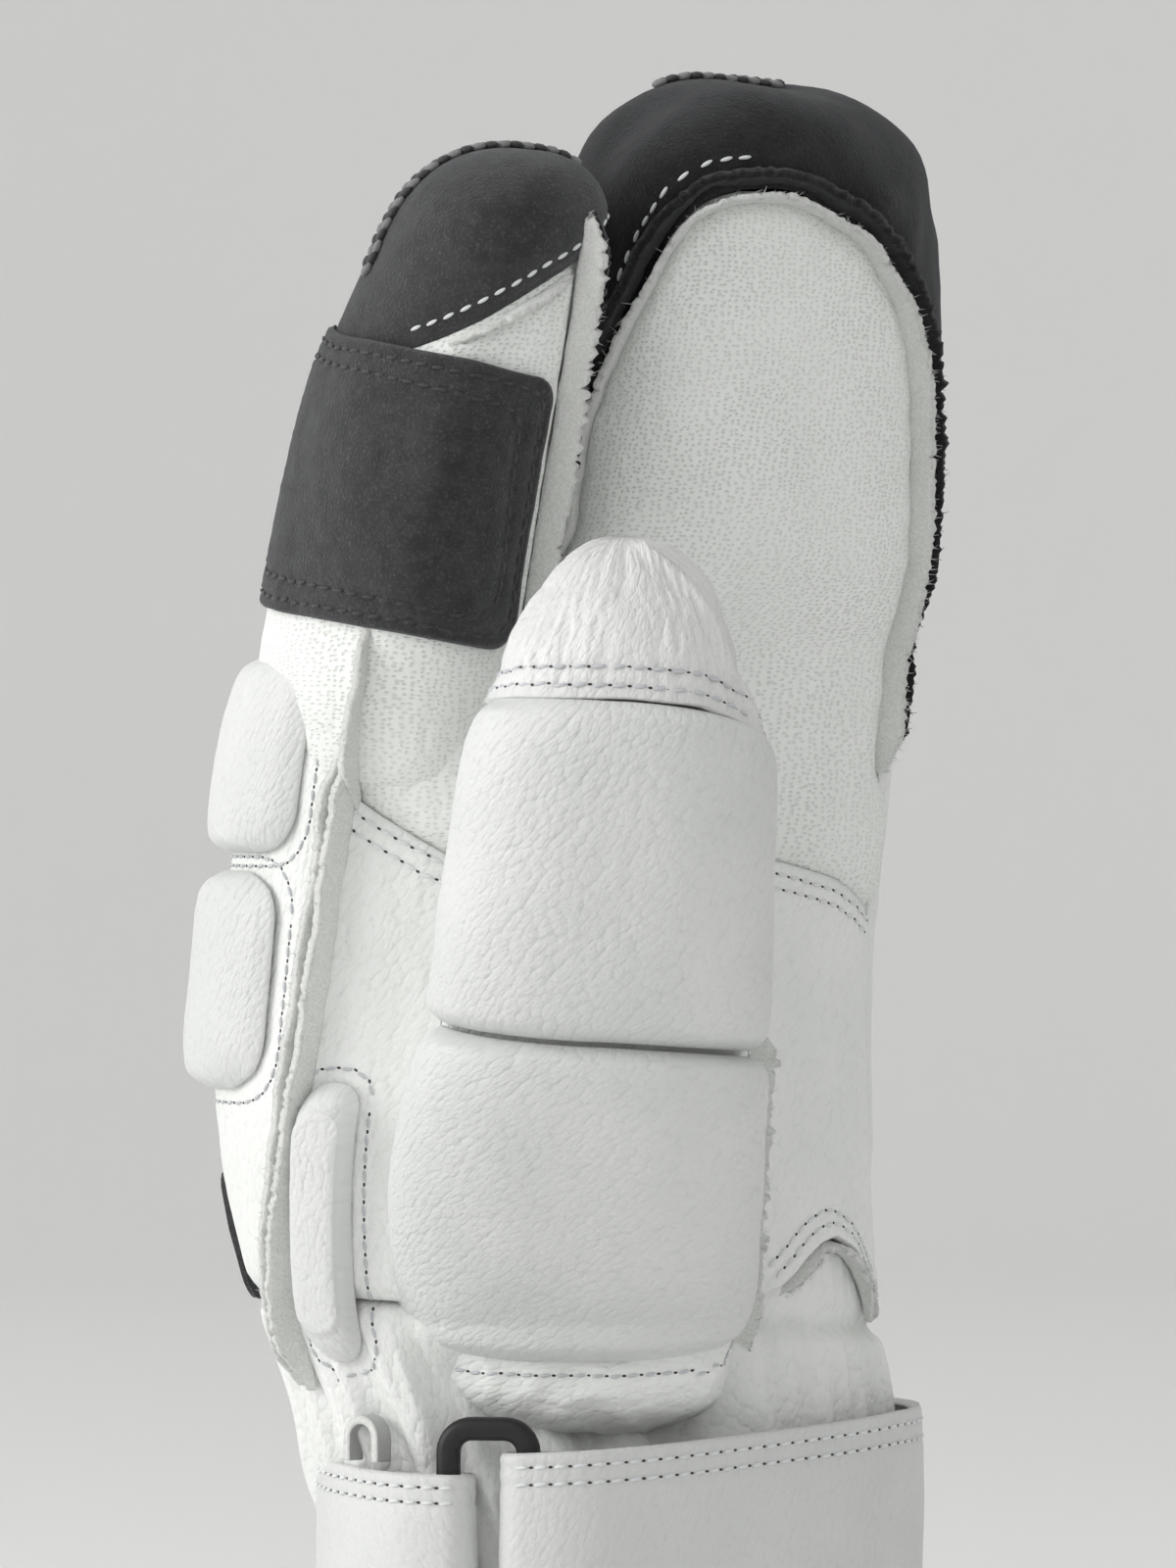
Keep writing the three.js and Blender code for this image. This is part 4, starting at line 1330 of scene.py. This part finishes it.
class Batch:
    # One small shape repeated: each copy has a middle and three axes, scaled to its size
    def __init__(self, operator, **settings):
        form = bmesh.new()
        operator(form, **settings)
        form.verts.index_update()
        self.corners = np.array([vert.co for vert in form.verts])
        # sorted, because the sphere operator makes its faces in another order each run
        self.faces = sorted([vert.index for vert in face.verts] for face in form.faces)
        form.free()
        self.copies = {}

    def add(self, finish, middle, axes):
        self.copies.setdefault(finish, []).append((middle, axes))

    def piece(self, name, finish, slot):
        copies = self.copies[finish]
        axes = np.array([[list(axis) for axis in copy[1]] for copy in copies])
        middles = np.array([list(copy[0]) for copy in copies])
        points = np.einsum("nk,ckx->cnx", self.corners, axes) + middles[:, None, :]
        step = len(self.corners)
        faces = [[corner + k * step for corner in face] for k in range(len(copies)) for face in self.faces]
        mesh = bpy.data.meshes.new(name)
        mesh.from_pydata(points.reshape(-1, 3).tolist(), [], faces)
        return finishPiece(name, mesh, finish, slot)


fibres = Batch(bmesh.ops.create_cone, cap_ends=True, cap_tris=False, segments=3, radius1=1, radius2=0.2, depth=1)
threads = Batch(bmesh.ops.create_uvsphere, u_segments=6, v_segments=5, radius=1)
chance = random.Random(4)


def fray(edge, count, length, finish):
    # Loose fibres at an edge's top
    for _ in range(count):
        u = np.array([chance.uniform(0.0, 1.0)])
        root = edge.place(u, np.array([0.94]), chance.uniform(-1.0, 0.1))[0]
        way = edge.place(u, np.array([1.0]))[0] - edge.place(u, np.array([0.3]))[0]
        way = Vector(way).normalized() + Vector([chance.gauss(0, 0.55) for _ in range(3)])
        reach = length * chance.uniform(0.35, 1.0) ** 1.5
        way.normalize()
        side = way.orthogonal().normalized()
        fibres.add(
            finish, Vector(root) + way * reach * 0.45, (side * 0.075, way.cross(side) * 0.075, way * reach)
        )


def standing(name, edge, *, thickness=1.2, finish="raw", slot="white_leather", nodes=(), hairs=0, length=1.6):
    steps = max(int(edge.run[-1] / 0.5), 12)

    def shape(points, u, v):
        tufts = 0.22 * v * drift(points, (0.9, 0.9, 0.9), edge.seed + 5)
        return tufts + 0.1 * drift(points, (2, 2, 2), edge.seed), v * 0

    piece = sheet(
        name, (steps, 6), edge.place, shape, thickness=thickness, finish=finish, slot=slot, nodes=nodes, rim=finish,
    )
    piece.modifiers["wall"].material_offset = 0
    if hairs:
        fray(edge, hairs, length, "pouchSuede" if finish == "pouchSuede" else "raw")
    return piece


faceRoute = faceArch[::6]
indexRoute = [(281, 243), (284, 241), (292, 228), (300, 210), (304, 197), (305, 186)]
leafRoute = seamRoute(indexSeam, 222, 282)[::12]
sideRoute = [(172, 90), (174, 93), (184, 111), (195, 131), (199, 158), (199, 166), (199, 173)]
sideTop = [(207, 166), (208, 172), (210, 180), (212, 190)]
thumbSide = [(357, 90), (358, 98), (360, 112), (362, 126), (364, 140)]
suede = {"finish": "pouchSuede", "slot": "dark_suede"}
# tube, route, height, how the edge stands, and its leather: the loose fibres are drawn in this order
rawEdges = {
    "pouch_edge_suede": (hand, faceRoute, 2.9, {"offset": -0.9, "lean": -0.2, "seed": 201, "ragged": 0.2},
                         {"thickness": 1.3, "nodes": ["pouch_welt"], "hairs": 130, "length": 1.1, **suede}),
    "pouch_edge_leather": (hand, faceRoute, 2.2, {"offset": 0.9, "lean": 0.9, "sink": 2.4, "seed": 211, "ragged": 0.22},
                           {"thickness": 0.8, "hairs": 620, "length": 1.7}),
    "index_edge_leather": (index, indexRoute, 3.2, {"offset": 0.3, "lean": 0.6, "seed": 221},
                           {"nodes": ["index_welt"], "hairs": 110, "length": 1.5}),
    "index_leaf_edge": (index, leafRoute, 1.3, {"offset": -0.6, "lean": -0.5, "sink": 0.4, "seed": 225},
                        {"thickness": 1.0, "hairs": 40, "length": 1.1}),
    "index_edge_suede": (index, indexRoute, 2.4, {"offset": 1.6, "lean": 0.5, "seed": 231}, suede),
    "side_edge_front": (hand, sideRoute, 3.8, {"offset": -0.8, "lean": 0.4, "seed": 241, "ragged": 0.12},
                        {"nodes": ["side_welt"], "hairs": 150}),
    "side_edge_top": (index, sideTop, 3.2, {"seed": 245, "ragged": 0.12}, {"hairs": 20, "length": 1.4}),
    "side_edge_back": (hand, sideRoute, 3.2, {"offset": 0.9, "lean": 0.8, "seed": 251, "ragged": 0.12},
                       {"hairs": 90, "length": 1.4}),
    "thumb_edge_front": (thumb, thumbSide, 2.8, {"offset": 0.8, "seed": 261},
                         {"nodes": ["thumb_welt"], "hairs": 60, "length": 1.3}),
    "thumb_edge_back": (thumb, thumbSide, 2.2, {"offset": -0.8, "seed": 271},
                        {"thickness": 1.1, "hairs": 30, "length": 1.2}),
    "wrist_edge": (hand, wristArc, 1.5, {"offset": -0.4, "lean": -0.8, "sink": 0.4, "seed": 281},
                   {"thickness": 1.1, "nodes": ["wrist_welt"], "hairs": 70, "length": 1.2}),
}
for name, (tube, route, height, stance, hide) in rawEdges.items():
    standing(name, Edge(tube, route, height, **stance), **hide)
print("raw edges")

# Stitches, laid on the finished leather
def restOn(point, names):
    best = None
    for name in names:
        found, normal, _, distance = surfaces[name].find_nearest(Vector(point))
        if best is None or distance < best[2]:
            best = (found, normal, distance)
    return best


def bead(thread, middle, along, outwards, sizes):
    side = outwards.cross(along).normalized()
    threads.add(thread, middle, (side * sizes[1], along.cross(side).normalized() * sizes[2], along * sizes[0]))


def stitch(line, over, thread="whiteThread", pitch=2.5, length=1.75, radius=0.3, part=(0, 1), hidden=(), holes=True):
    for k in range(int(line.length * (part[1] - part[0]) / pitch)):
        at = line.length * part[0] + pitch * (k + 0.5)
        ends = []
        for side in (-0.5, 0.5):
            ends.append(restOn(line.spot(at + side * length), over))
        middle = (ends[0][0] + ends[1][0]) / 2
        outwards = (ends[0][1] + ends[1][1]).normalized()
        along = (ends[1][0] - ends[0][0])
        spot = np.array([middle])
        if ends[0][2] > 7 or along.length < 0.3 or any(tube.inside(spot)[0] > 0.06 for tube in hidden):
            continue
        along.normalize()
        slant = (along + outwards.cross(along) * 0.12).normalized()
        bead(thread, middle + outwards * 0.1, slant, outwards, (length / 2, radius, radius * 0.85))
        # Needle holes: a small dark bead in the gap after each stitch, painted shade in the hole.
        if holes and thread != "darkThread":
            gap = middle + along * (pitch / 2) - outwards * 0.02
            bead("darkThread", gap, along, outwards, (0.3, 0.2, 0.1))


# rows beside the palm's seam, the wrist's arc and the thumb's tip
for row in palmRows:
    stitch(row, ["palm_leather"], hidden=(thumb, index))
for row in arcRows:
    stitch(row, ["palm_leather"], hidden=(thumb,))
for row in thumbHeadRows:
    stitch(row, ["thumb_tip_leather"], "greyThread")
stitch(cuffHem, ["cuff_leather"])
for name, item in ribbons.items():
    for row in item["rows"]:
        stitch(row, [name], pitch=2.6, part=(18 / row.length, 1))


def beside(name, grow, turnPerMm):
    pad = pads[name]
    return lineOn(pad["tube"], rimRoute(pad["patch"], grow, turnPerMm), smooth=False)


padThread = {"thread": "greyThread", "pitch": 2.3, "length": 1.5, "radius": 0.26}
upperRim = beside("thumb_pad_upper", 1.5, 3.2)
for part in ((0.0, 0.11), (0.39, 0.61), (0.89, 1.0)):
    stitch(upperRim, ["thumb_leather"], hidden=(hand,), part=part, **padThread)
lowerRim = rimRoute(pads["thumb_pad_lower"]["patch"], 1.9, 4.2)
lowerPoints = thumb.at(lowerRim[:, 0], lowerRim[:, 1]) + thumbSwell(lowerRim[:, 0], lowerRim[:, 1])
stitch(Line(lowerPoints), ["thumb_leather"], **padThread)
stitch(beside("knuckle_pad_upper", 1.8, 2.1), ["back_leather"], **padThread)
stitch(beside("knuckle_pad_lower", 1.8, 2.1), ["back_leather"], **padThread)
stitch(beside("side_pad", 1.8, 1.6), ["palm_leather", "cuff_leather"], hidden=(thumb,), **padThread)
stitch(hoodRow, ["pouch_hood_suede"], pitch=2.7, length=1.9, radius=0.3, holes=False, part=(0.555, 0.9))
stitch(indexCapRow, ["index_cap_suede"], pitch=2.5, length=1.7, radius=0.28, holes=False)
for name, rows in stitchRows.items():
    for row in rows:
        stitch(row, [name + "_suede"], "darkThread", 2.4, 1.7, 0.3)


chainStitch = {"pitch": 1.6, "apart": 0.76, "lift": 0.4, "slant": 0.55, "strand": (1.15, 0.62, 0.6)}


def chain(tube, angle, low, high, over):
    # Chain stitching sewn along a seam and over the tip: two rows of slanted strands
    levels = np.linspace(low, high, 300)
    past = levels > tube.last + 1
    points = tube.skin(np.where(past, angle + 180, angle), np.where(past, 2 * tube.last + 2 - levels, levels))
    line = Line(points)
    for k in range(int(line.length / chainStitch["pitch"])):
        for side in (-1, 1):
            at = chainStitch["pitch"] * (k + 0.5 + 0.25 * side)
            spot = Vector(line.spot(at))
            found, outwards, _ = restOn(spot, over)
            along = (Vector(line.spot(at + 0.6)) - spot).normalized()
            aside = outwards.cross(along).normalized()
            slant = (along + aside * chainStitch["slant"] * side).normalized()
            thread = "darkThread" if (k + (side > 0)) % 2 else "cordThread"
            middle = found + aside * side * chainStitch["apart"] + outwards * chainStitch["lift"]
            bead(thread, middle, slant, outwards, chainStitch["strand"])


chain(index, 156, index.level(236), index.last + 1.45, ["index_cap_suede"])
chain(hand, 150, hand.last + 0.72, hand.last + 1.1, ["pouch_hood_suede"])


threads.piece("white_stitches", "whiteThread", "white_leather")
threads.piece("grey_stitches", "greyThread", "white_leather")
threads.piece("dark_stitches_and_hole_shade", "darkThread", "dark_suede")
threads.piece("braided_cord", "cordThread", "dark_suede")
fibres.piece("loose_white_fibres", "raw", "white_leather")
fibres.piece("loose_dark_fibres", "pouchSuede", "dark_suede")
print("stitches and fibres")


# Stage
def studioSweep():
    # A paper bowl: floor, curve and wall all round, so that every view has the same plain ground
    profile = [(0.0, 0.0), (1.4, 0.0), (2.0, 0.0)]
    profile += [(2.0 + 1.3 * math.sin(a), 1.3 - 1.3 * math.cos(a)) for a in np.linspace(0.1, math.pi / 2, 12)]
    profile += [(3.3, 3.4)]
    form = bmesh.new()
    verts = [form.verts.new((x, 0, z)) for x, z in profile]
    edges = [form.edges.new(pair) for pair in zip(verts, verts[1:])]
    bmesh.ops.spin(
        form, geom=verts + edges, cent=(0, 0, 0), axis=(0, 0, 1), dvec=(0, 0, 0), angle=2 * math.pi, steps=96,
        use_merge=True, use_duplicate=False,
    )
    bmesh.ops.remove_doubles(form, verts=form.verts, dist=1e-5)
    bmesh.ops.recalc_face_normals(form, faces=form.faces)
    mesh = bpy.data.meshes.new("studio_sweep")
    form.to_mesh(mesh)
    form.free()
    mesh.polygons.foreach_set("use_smooth", np.ones(len(mesh.polygons), bool))
    mesh.materials.append(finishes["paper"])
    sweep = bpy.data.objects.new("studio_sweep", mesh)
    scene.collection.objects.link(sweep)


studioSweep()
